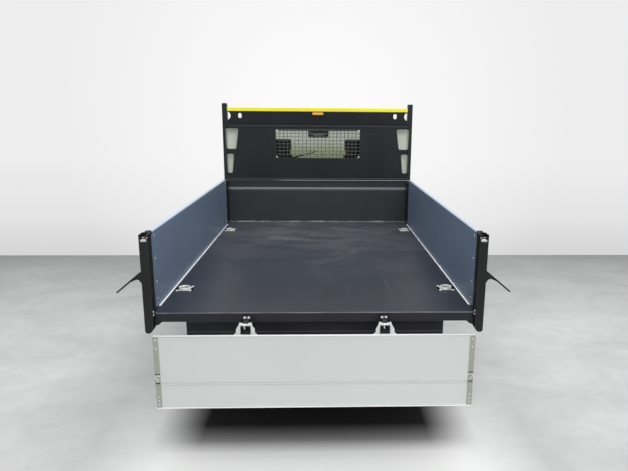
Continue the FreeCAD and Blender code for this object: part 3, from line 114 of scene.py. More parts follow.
class TipperColours(bpy.types.PropertyGroup):
    """Paints, plastics and metals of the truck"""

    frame_black: colour_setting("Frame black", "Coat of posts, beams and chassis", (25, 26, 27))
    head_black: colour_setting("Headboard black", "Paint of the headboard", (29, 31, 35))
    bed_floor: colour_setting("Bed floor", "Paint of the steel floor", (46, 52, 64))
    board_blue: colour_setting("Side boards", "Anodised side boards", (109, 126, 148))
    # Also the painted highlights on the rails' crowns and the boards' front ends, and the pale band
    # along their foot.
    board_edge: colour_setting("Board edge", "Bare rounded edge along the boards", (190, 200, 215))
    gate_silver: colour_setting("Tailgate", "Anodised tailgate profile", (210, 214, 212))
    gate_cap: colour_setting("Tailgate ends", "Galvanised end plates", (170, 172, 162))
    zinc: colour_setting("Zinc", "Plated hinges, rings and screws", (222, 224, 222))
    rail_yellow: colour_setting("Top rail", "Rail along the headboard's top", (255, 243, 66))
    amber: colour_setting("Amber lens", "Marker lamp and turn lamps", (235, 160, 40))
    red: colour_setting("Red lens", "Tail and brake lamps", (165, 14, 12))
    cab: colour_setting("Cab", "Gloss paint of the cab", (206, 210, 195))
    tyre: colour_setting("Tyre", "Rubber of tyres and flaps", (34, 34, 35))
    wheel: colour_setting("Wheel", "Silver paint of the wheels", (176, 179, 181))
    plastic: colour_setting("Plastic", "Grained plastic of bumper, mirrors and trim", (38, 39, 41))
    seat: colour_setting("Seat cloth", "Woven cloth of the seats", (42, 44, 49))


class TipperSizes(bpy.types.PropertyGroup):
    """Sizes of the small parts"""

    tread_depth: length_setting("Tread depth", "Depth of the grooves in the tread", 0.008)
    rivet_radius: length_setting("Rivet radius", "Radius of rivets on boards and gate", 0.0055)
    bolt_radius: length_setting("Bolt radius", "Radius of the bolt heads on the hinges", 0.009)
    seal_radius: length_setting("Seal radius", "Radius of the rubber seals round the glass", 0.007)
    strip_width: length_setting("Floor strip", "Width of the bright strip along the boards", 0.012)


class TipperStudio(bpy.types.PropertyGroup):
    """Camera, floor, backdrop and light"""

    camera_place: bpy.props.FloatVectorProperty(
        name="Camera", description="Place of the camera", subtype="TRANSLATION", unit="LENGTH",
        default=(0.026, -4.910, 1.907))
    camera_turn: bpy.props.FloatVectorProperty(
        name="Camera turn", description="Pitch down, turn to the left and roll", subtype="EULER",
        default=(math.radians(12.61), math.radians(-1.89), math.radians(0.435)))
    lens: bpy.props.FloatProperty(
        name="Lens", description="Focal length on a 36 mm sensor", default=31.25, min=10)
    lens_shift: bpy.props.FloatProperty(
        name="Lens shift", description="Sideways shift of the view, share of its width",
        default=-0.0383)
    wall_gap: length_setting("Backdrop gap", "Backdrop ahead of the front bumper", 0.15)
    floor_tone: colour_setting("Floor", "Pale floor", (206, 206, 206))
    # The backdrop's darker foot is painted shade where it meets the floor.
    wall_low: colour_setting("Backdrop foot", "Backdrop where it meets the floor", (214, 214, 214))
    wall_high: colour_setting("Backdrop", "Backdrop above", (237, 237, 237))
    # Depth of the painted shadow on the floor under the truck.
    shade: bpy.props.FloatProperty(
        name="Shade", description="Depth of the still shade under the truck", default=0.985,
        min=0, max=1)
    sky: bpy.props.FloatProperty(
        name="Sky", description="Strength of the soft light from all round", default=0.62)
    key: bpy.props.FloatProperty(
        name="Key", description="Power of the lamp behind the camera", default=230, unit="POWER")
    top: bpy.props.FloatProperty(
        name="Top", description="Power of the lamp overhead", default=260, unit="POWER")


def colours():
    return bpy.context.scene.tipper_colours


def sizes():
    return bpy.context.scene.tipper_sizes


def studio():
    return bpy.context.scene.tipper_studio


# ---------------------------------------------------------------- finishes

# Sockets of a Mix node: it has a pair of inputs for every kind of value.
MIX_FLOATS, MIX_COLOURS, MIX_COLOUR_OUT = (2, 3), (6, 7), 2
EDGE_TURN = 1 / 12                  # how far the rounded normal leans off the face at a full edge
PANE = 0.03                         # roughness of glass
# The tailgate's two grooves are painted darker, as shade.
GATE_GROOVES = (0.33, 0.36)         # two lines along the tailgate, shares of its height
# Painted highlights lie along these folds of the rear member.
MEMBER_FOLDS = ((0.078, 0.074), (0.136, 0.130))     # of the bed's rear member, below the floor
# Bands across the headboard, heights above the floor: painted shade in the fold, painted highlights
# on the ledge and the lip.
HEAD_FOLD, HEAD_LEDGE, HEAD_LIP = (0.910, 0.948), (0.402, 0.408), (0.316, 0.334)


class Finish:
    """Node tree of one finish, with short names for what every finish uses."""

    def __init__(self, name, colour, roughness, **sockets):
        self.material = bpy.data.materials.new(name)
        self.material.use_nodes = True
        self.tree = self.material.node_tree
        self.shader = self.tree.nodes["Principled BSDF"]
        self.colour = tuple(colour)
        self.input("Base Color").default_value = (*self.colour, 1)
        self.input("Roughness").default_value = roughness
        for socket, value in sockets.items():
            self.input(socket.replace("_", " ")).default_value = value
        self.place = self.add("ShaderNodeTexCoord").outputs["Object"]
        self.last_bump = None

    def input(self, name):
        return self.shader.inputs[name]

    def add(self, kind, **settings):
        node = self.tree.nodes.new(kind)
        for name, value in settings.items():
            setattr(node, name, value)
        return node

    def feed(self, socket, value):
        if isinstance(value, bpy.types.NodeSocket):
            self.tree.links.new(value, socket)
        elif socket.type == "RGBA":
            socket.default_value = (*value[:3], 1)
        else:
            socket.default_value = value

    def texture(self, kind, scale, place, **settings):
        node = self.add(kind, **settings)
        self.feed(node.inputs["Vector"], place)
        node.inputs["Scale"].default_value = scale
        return node

    def noise(self, scale, detail, stretch=(1, 1, 1), warp=0.0):
        mapping = self.add("ShaderNodeMapping")
        self.feed(mapping.inputs["Vector"], self.place)
        mapping.inputs["Scale"].default_value = stretch
        node = self.texture("ShaderNodeTexNoise", scale, mapping.outputs["Vector"])
        node.inputs["Detail"].default_value = detail
        node.inputs["Distortion"].default_value = warp
        return node.outputs["Fac"]

    def cells(self, scale):
        return self.texture("ShaderNodeTexVoronoi", scale, self.place).outputs["Distance"]

    def waves(self, scale, axis):
        node = self.texture("ShaderNodeTexWave", scale, self.place, bands_direction=axis)
        return node.outputs["Fac"]

    def ramp(self, value, start, end, first=0.0, last=1.0):
        node = self.add("ShaderNodeMapRange", clamp=True)
        for name, number in (("Value", value), ("From Min", start), ("From Max", end),
                             ("To Min", first), ("To Max", last)):
            self.feed(node.inputs[name], number)
        return node.outputs["Result"]

    def maths(self, operation, value, *others):
        """Runs the values together, held between 0 and 1 at every step."""
        for other in others:
            node = self.add("ShaderNodeMath", operation=operation, use_clamp=True)
            self.feed(node.inputs[0], value)
            self.feed(node.inputs[1], other)
            value = node.outputs["Value"]
        return value

    def times(self, *values):
        return self.maths("MULTIPLY", *values)

    def plus(self, *values):
        return self.maths("ADD", *values)

    def most(self, *values):
        return self.maths("MAXIMUM", *values)

    def along(self, axis):
        node = self.add("ShaderNodeSeparateXYZ")
        self.feed(node.inputs["Vector"], self.place)
        return node.outputs[axis]

    def away(self, axis):
        """Distance from the middle plane across one axis."""
        node = self.add("ShaderNodeMath", operation="ABSOLUTE")
        self.feed(node.inputs[0], self.along(axis))
        return node.outputs["Value"]

    def between(self, value, start, end, soft=0.0005):
        rise = self.ramp(value, start - soft, start + soft)
        fall = self.ramp(value, end - soft, end + soft, 1.0, 0.0)
        return self.times(rise, fall)

    def mix(self, amount, first, second):
        node = self.add("ShaderNodeMix", data_type="RGBA")
        self.feed(node.inputs["Factor"], amount)
        for socket, colour in zip(MIX_COLOURS, (first, second)):
            self.feed(node.inputs[socket], colour)
        return node.outputs[MIX_COLOUR_OUT]

    def edges(self, radius=0.003):
        """1 near sharp edges, 0 on flats."""
        bevel = self.add("ShaderNodeBevel", samples=4)
        bevel.inputs["Radius"].default_value = radius
        face = self.add("ShaderNodeNewGeometry")
        dot = self.add("ShaderNodeVectorMath", operation="DOT_PRODUCT")
        self.feed(dot.inputs[0], bevel.outputs["Normal"])
        self.feed(dot.inputs[1], face.outputs["Normal"])
        return self.ramp(dot.outputs["Value"], 1.0, 1.0 - EDGE_TURN)

    def tint(self, value):
        self.feed(self.input("Base Color"), value)

    def mottled(self, amount, scale, colour=None):
        """Colour that drifts a little darker and lighter over the surface."""
        colour = colour or self.colour
        dark = tuple(c * (1 - amount) for c in colour)
        light = tuple(min(1.0, c * (1 + amount)) for c in colour)
        return self.mix(self.ramp(self.noise(scale, 5), 0.32, 0.68), dark, light)

    def patched(self, noise, limits, drift, chip):
        """Mottled colour (amount and scale of its drift) under patches of another chip."""
        patches = self.ramp(self.noise(*noise), *limits)
        return self.mix(patches, self.mottled(*drift), paint_chip(*chip))

    def worn(self, start, end, scale=6.0, stretch=(1, 1, 1)):
        """Roughness that drifts between two values."""
        gloss = self.ramp(self.noise(scale, 6, stretch), 0.3, 0.7, start, end)
        self.feed(self.input("Roughness"), gloss)

    def bump(self, height, strength, distance=0.001):
        node = self.add("ShaderNodeBump")
        node.inputs["Strength"].default_value = strength
        node.inputs["Distance"].default_value = distance
        self.feed(node.inputs["Height"], height)
        if self.last_bump:
            self.feed(node.inputs["Normal"], self.last_bump)
        self.last_bump = node.outputs["Normal"]
        self.feed(self.input("Normal"), self.last_bump)

    def grain(self, scale, strength, distance, detail=2, stretch=(1, 1, 1)):
        """Fine unevenness that only bends the light."""
        self.bump(self.noise(scale, detail, stretch), strength, distance)

    def show(self, surface):
        """Puts another surface in place of the plain shader."""
        self.feed(self.tree.nodes["Material Output"].inputs["Surface"], surface)

    def blend(self, amount, first, second):
        """Mix of two surfaces."""
        node = self.add("ShaderNodeMixShader")
        self.feed(node.inputs["Fac"], amount)
        self.feed(node.inputs[1], first)
        self.feed(node.inputs[2], second)
        return node.outputs["Shader"]


def black_paint():
    """Satin powder coat with dust on it and a faint painted highlight on its edges."""
    f = Finish("black_paint", colours().frame_black, 0.45, Specular_IOR_Level=0.3)
    body = f.patched((2.3, 8), (0.5, 0.8, 0.0, 0.35), (0.2, 2.0), (62, 62, 60))
    # Painted highlight: the coat turns paler near sharp edges.
    f.tint(f.mix(f.times(f.edges(), 0.30), body, paint_chip(104, 106, 108)))
    f.worn(0.36, 0.58)
    f.grain(420, 0.10, 0.0006)
    return f


def under_bed_paint():
    """The bed's frame: black coat, dusty below the floor, with painted highlights along two folds
    of its rear member.
    """
    f = Finish("under_bed_paint", colours().frame_black, 0.45, Specular_IOR_Level=0.3)
    height, depth = f.along("Z"), f.along("Y")
    dust = f.times(f.ramp(f.noise(2.3, 8), 0.35, 0.7, 0.2, 0.6),
                   f.ramp(depth, FLOOR_REAR + 0.01, FLOOR_REAR + 0.02))
    body = f.mix(dust, f.mottled(0.2, 2.0), paint_chip(66, 64, 72))
    # Painted highlight along each fold, strongest on the member's rear face.
    folds = f.plus(*(f.between(height, FLOOR_TOP - bottom, FLOOR_TOP - top)
                     for bottom, top in MEMBER_FOLDS))
    folds = f.times(folds, f.ramp(depth, FLOOR_REAR + 0.10, FLOOR_REAR + 0.11, 0.45, 0.0))
    f.tint(f.mix(folds, body, paint_chip(104, 106, 110)))
    f.worn(0.36, 0.58)
    f.grain(420, 0.10, 0.0006)
    return f


def headboard_paint():
    """Darker, smoother coat on folded sheet: painted shade in its fold, dusty foot, and painted
    highlights on its ledge, its lip and its edges.
    """
    f = Finish("headboard_paint", colours().head_black, 0.40, Specular_IOR_Level=0.3)
    height = f.along("Z")
    fold, ledge, lip = (f.between(height, FLOOR_TOP + bottom, FLOOR_TOP + top, soft)
                        for (bottom, top), soft in ((HEAD_FOLD, 0.002), (HEAD_LEDGE, 0.0005),
                                                    (HEAD_LIP, 0.0005)))
    streaks = f.ramp(f.noise(5, 6, (1, 1, 0.12)), 0.52, 0.8, 0.0, 0.30)
    body = f.mix(streaks, f.mottled(0.15, 1.4), paint_chip(58, 60, 65))
    # Painted shade in the fold.
    body = f.mix(f.times(fold, 0.7), body, paint_chip(14, 15, 18))
    foot = f.ramp(height, FLOOR_TOP + 0.40, FLOOR_TOP + 0.41, 0.65, 0.0)
    body = f.mix(foot, body, paint_chip(62, 66, 70))
    # Painted highlights on the ledge, stronger towards the right, and on the lip.
    ledge = f.times(ledge, f.ramp(f.along("X"), -0.45, -0.30, 0.25, 1.0), 0.8)
    bright = f.plus(ledge, f.times(lip, 0.45))
    body = f.mix(bright, body, paint_chip(196, 200, 208))
    # Painted highlight on the edges.
    f.tint(f.mix(f.times(f.edges(0.004), 0.5), body, paint_chip(150, 156, 164)))
    f.worn(0.32, 0.50, 3.0)
    f.grain(2.2, 0.25, 0.004)
    f.grain(380, 0.08, 0.0005)
    return f


def scuffed(f, depth, aside):
    """Floor colour with its haze, rubbed patches, drag marks and chips, and the patches alone."""
    far = f.ramp(depth, FLOOR_REAR + 0.7, HEAD_REAR)
    clouds = f.ramp(f.noise(2.4, 7, (0.9, 1.3, 1), 0.8), 0.50, 0.68)
    grain = f.ramp(f.noise(22, 7, (1.3, 0.6, 1), 0.4), 0.35, 0.65, 0.35, 1.0)
    smears = f.times(clouds, grain, f.ramp(far, 0.0, 1.0, 0.10, 0.75),
                     f.ramp(aside, 0.35, 0.85, 1.0, 0.2))
    drags = f.ramp(f.noise(30, 4, (0.8, 0.05, 1), 0.3), 0.64, 0.76, 0.0, 0.10)
    chips = f.ramp(f.noise(55, 4, (1, 0.7, 1)), 0.74, 0.77, 0.0, 0.5)
    haze = f.times(f.ramp(f.noise(3.0, 7, (1, 1.8, 1), 0.6), 0.3, 0.7, 0.4, 1.6),
                   f.ramp(depth, FLOOR_REAR + 0.65, FLOOR_REAR + 1.8, 0.0, 0.26))
    body = f.patched((1.1, 5), (0.40, 0.75, 0.0, 0.45), (0.12, 2.2), (46, 50, 58))
    body = f.mix(haze, body, paint_chip(118, 119, 124))
    body = f.mix(smears, body, paint_chip(122, 120, 118))
    return f.mix(f.plus(drags, chips), body, paint_chip(124, 124, 126)), smears


def floor_paint():
    """Steel floor scuffed by loads, with a worn seam, a painted highlight along its rear lip,
    painted shade beside the side boards, and black paint on its rear beam.
    """
    f = Finish("floor_paint", colours().bed_floor, 0.45, Specular_IOR_Level=0.32)
    aside, depth, height = f.away("X"), f.along("Y"), f.along("Z")
    body, smears = scuffed(f, depth, aside)
    seam = f.times(f.ramp(depth, HEAD_REAR - 0.055, HEAD_REAR - 0.050),
                   f.ramp(f.noise(7, 6, (1, 0.2, 1)), 0.42, 0.60, 0.25, 1.0))
    body = f.mix(seam, body, paint_chip(176, 176, 180))
    # Painted highlight along the floor's rear edge.
    lip = f.times(f.ramp(depth, FLOOR_REAR + 0.003, FLOOR_REAR + 0.006, 1.0, 0.0),
                  f.ramp(height, FLOOR_TOP - 0.004, FLOOR_TOP - 0.002),
                  f.ramp(f.noise(6, 5), 0.35, 0.6, 0.5, 1.0))
    body = f.mix(lip, body, paint_chip(150, 152, 156))
    # Darker towards the side boards, which is painted shade beside them, and darker towards the
    # rear.
    darker = f.most(f.ramp(aside, 0.25, 0.70, 0.0, 0.15),
                    f.ramp(depth, FLOOR_REAR + 0.25, FLOOR_REAR + 0.70, 0.32, 0.0))
    body = f.mix(darker, body, paint_chip(24, 28, 38))
    beam = f.ramp(height, FLOOR_TOP - 0.0045, FLOOR_TOP - 0.004, 1.0, 0.0)
    f.tint(f.mix(beam, body, f.mottled(0.2, 3.0, paint_chip(34, 36, 41))))
    f.feed(f.input("Roughness"), f.ramp(smears, 0.0, 1.0, 0.40, 0.62))
    f.grain(3.5, 0.30, 0.004, 3)
    f.grain(300, 0.10, 0.0006, 3)
    return f


def board_metal():
    """Anodised board: lines along it, a painted highlight on the rail's crown and down its front
    end, a pale band along its foot, soft smudges, and its black end.
    """
    f = Finish("board_metal", colours().board_blue, 0.42, Specular_IOR_Level=0.45)
    depth, height = f.along("Y"), f.along("Z")
    body = f.patched((3.0, 7, (1, 0.6, 1)), (0.48, 0.75, 0.0, 0.22), (0.07, 1.5), (120, 134, 150))
    lines = f.ramp(f.noise(240, 2, (0.01, 0.01, 1)), 0.4, 0.6, 0.0, 0.10)
    body = f.mix(lines, body, paint_chip(80, 92, 108))
    # Painted highlight on the rounded rail's crown, and a pale band along the foot.
    edge = f.ramp(height, RAIL_TOP - 0.010, RAIL_TOP - 0.007)
    foot = f.ramp(height, FLOOR_TOP + 0.010, FLOOR_TOP + 0.012, 1.0, 0.0)
    body = f.mix(f.most(edge, foot), body, colours().board_edge)
    inner = f.most(f.ramp(f.away("X"), BOARD_IN + 0.002, BOARD_IN + 0.003, 1.0, 0.0),
                   f.ramp(height, BOARD_TOP - 0.004, BOARD_TOP - 0.003))
    # Painted highlight down the front end of each board, brighter on the left board.
    line = f.times(f.between(depth, BOARD_END - 0.016, BOARD_END),
                   f.ramp(f.along("X"), -0.1, 0.1, 0.8, 0.12), inner)
    body = f.mix(line, body, colours().board_edge)
    wing = f.times(f.ramp(depth, BOARD_END, BOARD_END + 0.001), inner)
    f.tint(f.mix(wing, body, colours().head_black))
    f.worn(0.34, 0.48, 4.0, (1, 0.4, 1))
    f.grain(200, 0.12, 0.0006, stretch=(0.01, 0.01, 1))
    return f


def gate_metal():
    """Tailgate: clear anodised face with painted shade in its two grooves, a painted highlight on
    each long edge with a painted shade line beside it, galvanised ends and plated leaves.
    """
    f = Finish("gate_metal", colours().gate_silver, 0.40, Metallic=0.15)
    across, height, depth = f.away("X"), f.along("Z"), f.along("Y")
    body = f.patched((2.2, 7, (0.5, 1, 1)), (0.45, 0.8, 0.0, 0.25), (0.03, 1.2), (202, 206, 204))
    # Painted shade in the two grooves.
    tall = PLATE_TOP - GATE_LOW
    middles = (GATE_LOW + tall * share for share in GATE_GROOVES)
    grooves = f.plus(*(f.between(height, z - 0.002, z + 0.002, 0.001) for z in middles))
    body = f.mix(f.times(grooves, 0.30), body, paint_chip(150, 154, 153))
    # Painted highlight on the top and bottom edges, and a painted shade line just inside each.
    bright = f.most(f.ramp(height, PLATE_TOP - 0.0015, PLATE_TOP - 0.0005),
                    f.ramp(height, GATE_LOW + 0.007, GATE_LOW + 0.010, 1.0, 0.0))
    body = f.mix(bright, body, paint_chip(252, 253, 254))
    shade = f.most(f.between(height, PLATE_TOP - 0.0050, PLATE_TOP - 0.0015, 0.001),
                   f.between(height, GATE_LOW + 0.010, GATE_LOW + 0.013, 0.001))
    body = f.mix(f.times(shade, 0.5), body, paint_chip(150, 153, 152))
    cap = f.times(f.ramp(across, GATE_HALF - 0.0285, GATE_HALF - 0.0275),
                  f.ramp(bright, 0.0, 1.0, 1.0, 0.0))
    galvanised = f.mix(f.ramp(f.cells(90), 0.1, 0.5), colours().gate_cap, paint_chip(160, 162, 152))
    body = f.mix(cap, body, galvanised)
    leaf = f.times(f.ramp(depth, GATE_REAR + 0.0275, GATE_REAR + 0.028),
                   f.ramp(across, 0.79, 0.80, 1.0, 0.0))
    leaf = f.most(leaf, f.ramp(height, PLATE_TOP + 0.001, PLATE_TOP + 0.002))
    body = f.mix(leaf, body, colours().zinc)
    mouth = f.times(f.between(across, HINGE_X - 0.027, HINGE_X + 0.027),
                    f.between(height, PLATE_TOP + 0.001, FLOOR_TOP - 0.050),
                    f.ramp(depth, HINGE_FACE - 0.009, HINGE_FACE - 0.007))
    f.tint(f.mix(mouth, body, colours().frame_black))
    f.worn(0.32, 0.46, 4.0, (0.3, 1, 1))
    f.grain(220, 0.06, 0.0004, stretch=(0.01, 1, 1))
    return f


def zinc_plate():
    f = Finish("zinc_plate", colours().zinc, 0.35, Metallic=0.3)
    f.tint(f.patched((60, 4), (0.4, 0.7, 0.0, 0.5), (0.05, 20), (176, 178, 172)))
    f.worn(0.28, 0.46, 40)
    f.grain(500, 0.06, 0.0004)
    return f


def bright_strip():
    """Rolled aluminium trim, nearly white."""
    f = Finish("bright_strip", paint_chip(244, 248, 252), 0.45)
    f.tint(f.mottled(0.03, 9))
    f.worn(0.36, 0.52, 12)
    f.grain(300, 0.06, 0.0004, stretch=(1, 0.02, 1))
    return f


def galvanised_wire():
    """Grey wires inside a black rim."""
    f = Finish("galvanised_wire", paint_chip(46, 48, 50), 0.45, Metallic=0.3)
    corner, opposite, rim = low("window_mesh"), high("window_mesh"), 0.0155
    inside = f.times(f.between(f.away("X"), 0.0, opposite.x - rim),
                     f.between(f.along("Z"), corner.z + rim, opposite.z - rim))
    wire = f.mix(f.ramp(f.noise(30, 4), 0.4, 0.7), paint_chip(84, 86, 86),
                 paint_chip(112, 114, 112))
    f.tint(f.mix(inside, f.mottled(0.2, 20), wire))
    f.worn(0.35, 0.55, 30)
    return f


def yellow_paint():
    f = Finish("yellow_paint", colours().rail_yellow, 0.35, Coat_Weight=0.2, Coat_Roughness=0.15)
    f.tint(f.patched((22, 8), (0.70, 0.74, 0.0, 0.5), (0.04, 3.0), (196, 178, 40)))
    f.worn(0.28, 0.44, 8)
    f.grain(300, 0.08, 0.0005)
    return f


def cab_paint():
    """Gloss paint with road grime low down."""
    f = Finish("cab_paint", colours().cab, 0.32, Coat_Weight=0.5, Coat_Roughness=0.08,
               Specular_IOR_Level=0.4)
    grime = f.times(f.ramp(f.along("Z"), 0.45, 0.95, 0.5, 0.0), f.ramp(f.noise(4, 8), 0.35, 0.7))
    f.tint(f.mix(grime, f.mottled(0.03, 1.0), paint_chip(128, 124, 108)))
    f.worn(0.26, 0.38, 5)
    f.grain(700, 0.03, 0.0003)
    return f


def cab_back_paint_and_light():
    """The cab's rear wall, in cab paint made paler: painted light standing in for the light it
    lacks in the headboard's shade.
    """
    # Painted light: a paler copy of the cab's paint.
    f = Finish("cab_back_paint_and_light", paint_chip(240, 242, 227), 0.4, Specular_IOR_Level=0.3)
    f.tint(f.mottled(0.03, 1.0))
    f.worn(0.34, 0.46, 5)
    f.grain(700, 0.03, 0.0003)
    return f


def cab_inside():
    """Light grey moulded lining."""
    f = Finish("cab_lining", paint_chip(120, 122, 120), 0.8)
    f.tint(f.mottled(0.08, 4.0))
    f.bump(f.cells(600), 0.2, 0.0004)
    return f


def rubber():
    """Dusty black rubber."""
    f = Finish("rubber", colours().tyre, 0.75, Specular_IOR_Level=0.3)
    f.tint(f.patched((7, 8), (0.45, 0.75, 0.0, 0.5), (0.15, 5.0), (78, 74, 68)))
    f.worn(0.66, 0.88, 9)
    f.grain(260, 0.15, 0.0006, 4)
    return f


def wheel_paint():
    """Silver paint with brake dust."""
    f = Finish("wheel_paint", colours().wheel, 0.38, Metallic=0.35)
    f.tint(f.patched((12, 8), (0.5, 0.75, 0.0, 0.55), (0.05, 4.0), (104, 98, 88)))
    f.worn(0.30, 0.55, 9)
    f.grain(300, 0.06, 0.0004)
    return f


def black_plastic():
    """Grained plastic, a little faded."""
    f = Finish("black_plastic", colours().plastic, 0.6, Specular_IOR_Level=0.35)
    f.tint(f.patched((3, 7), (0.45, 0.75, 0.0, 0.4), (0.12, 6.0), (66, 66, 66)))
    f.worn(0.5, 0.7, 7)
    f.bump(f.cells(520), 0.22, 0.0005)
    return f


def cast_metal():
    """Rough casting with rust on it."""
    f = Finish("cast_metal", paint_chip(88, 88, 88), 0.6, Metallic=0.5)
    f.tint(f.patched((9, 9), (0.55, 0.72, 0.0, 0.6), (0.2, 6.0), (96, 66, 48)))
    f.worn(0.5, 0.8, 12)
    f.grain(160, 0.4, 0.001, 5)
    return f


def chrome():
    f = Finish("chrome", paint_chip(214, 216, 218), 0.08, Metallic=1.0)
    f.tint(f.mottled(0.03, 12))
    f.worn(0.05, 0.16, 30)
    f.grain(400, 0.02, 0.0003, stretch=(1, 0.02, 0.02))
    return f


def seat_cloth():
    """Woven cloth with a small check."""
    f = Finish("seat_cloth", colours().seat, 0.9, Sheen_Weight=0.3, Sheen_Roughness=0.5)
    check = f.ramp(f.times(f.waves(34, "X"), f.waves(34, "Z")), 0.3, 0.7, 0.0, 0.35)
    f.tint(f.mix(check, f.mottled(0.15, 9), paint_chip(66, 71, 80)))
    f.worn(0.82, 0.96, 20)
    for axis in "XY":
        f.bump(f.waves(260, axis), 0.35, 0.0006)
    return f


def clear_glass():
    """Thin pane: see-through, a touch green and a deeper green low down as painted light, with a
    mirror-like skin that grows at a slant.
    """
    f = Finish("clear_glass", paint_chip(215, 226, 220), PANE)
    f.tree.nodes.remove(f.shader)
    through = f.add("ShaderNodeBsdfTransparent")
    haze = f.ramp(f.noise(3, 6), 0.3, 0.8)
    clear = f.mix(haze, (0.76, 0.775, 0.745), (0.83, 0.835, 0.815))
    # Painted light: below about 1.5 m the pane turns a deeper green, standing in for green light
    # seen through the cab.
    foot = f.ramp(f.along("Z"), 1.40, 1.60, 0.85, 0.0)
    f.feed(through.inputs["Color"], f.mix(foot, clear, (0.60, 0.645, 0.50)))
    skin = f.add("ShaderNodeBsdfGlossy")
    skin.inputs["Roughness"].default_value = PANE
    slant = f.add("ShaderNodeLayerWeight")
    slant.inputs["Blend"].default_value = 0.25
    mirrored = f.ramp(slant.outputs["Fresnel"], 0.0, 1.0, 0.01, 0.5)
    f.show(f.blend(mirrored, through.outputs["BSDF"], skin.outputs["BSDF"]))
    return f


def mirror_glass():
    f = Finish("mirror_glass", paint_chip(225, 228, 230), 0.02, Metallic=1.0)
    f.tint(f.mottled(0.02, 20))
    f.worn(0.01, 0.05, 8)
    return f


def lamp_lens():
    """Clear ribbed cover with a bright reflector behind it."""
    f = Finish("lamp_lens", paint_chip(214, 218, 222), 0.12, Metallic=0.35, Coat_Weight=1.0,
               Coat_Roughness=0.03)
    flutes = f.waves(26, "X")
    f.tint(f.mix(f.ramp(flutes, 0.2, 0.9), paint_chip(168, 174, 180), paint_chip(232, 236, 240)))
    f.worn(0.06, 0.18, 14)
    f.bump(flutes, 0.4, 0.001)
    return f


def coloured_lens(name, colour):
    """Ribbed plastic lens with a faint painted glow, standing in for light from its reflector, and
    painted highlights on its ribs.
    """
    # Painted glow: a little emission, though no lamp is lit.
    f = Finish(name, colour, 0.2, Coat_Weight=0.8, Coat_Roughness=0.05, Emission_Strength=0.12)
    f.input("Emission Color").default_value = (*colour, 1)
    ribs = f.waves(70, "X")
    # Painted highlights on the ribs.
    rib_highlight = tuple(min(1, c * 1.9) for c in colour)
    f.tint(f.mix(f.ramp(ribs, 0.2, 0.9, 0.0, 0.35), f.mottled(0.08, 12), rib_highlight))
    f.worn(0.12, 0.26, 20)
    f.bump(ribs, 0.35, 0.0008)
    return f


def amber_lens():
    return coloured_lens("amber_lens", colours().amber)


def red_lens():
    return coloured_lens("red_lens", colours().red)


def finish(maker):
    """The material that a maker function gives, made once."""
    name = "finish_" + maker.__name__
    made = bpy.data.materials.get(name)
    if made is None:
        made = maker().material
        made.name = name
    return made


# ---------------------------------------------------------------- shapes

def placed(thing):
    """Links a new object into the scene."""
    bpy.context.scene.collection.objects.link(thing)
    return thing


def evaluated(thing):
    """Mesh of an object with its modifiers run."""
    graph = bpy.context.evaluated_depsgraph_get()
    return bpy.data.meshes.new_from_object(thing.evaluated_get(graph))


def rounded(part, radius, steps):
    """Rounds every edge of a part."""
    if radius:
        bmesh.ops.bevel(part, geom=part.edges[:], offset=radius, segments=steps, profile=0.5,
                        affect="EDGES")


def cuboid(corner, opposite, radius, steps):
    """Block between two corners, with rounded edges."""
    part = bmesh.new()
    bmesh.ops.create_cube(part, size=1)
    corner, opposite = Vector(corner), Vector(opposite)
    size = Matrix.Diagonal((*(opposite - corner), 1))
    bmesh.ops.transform(part, matrix=Matrix.Translation((corner + opposite) / 2) @ size,
                        verts=part.verts)
    rounded(part, radius, steps)
    return part


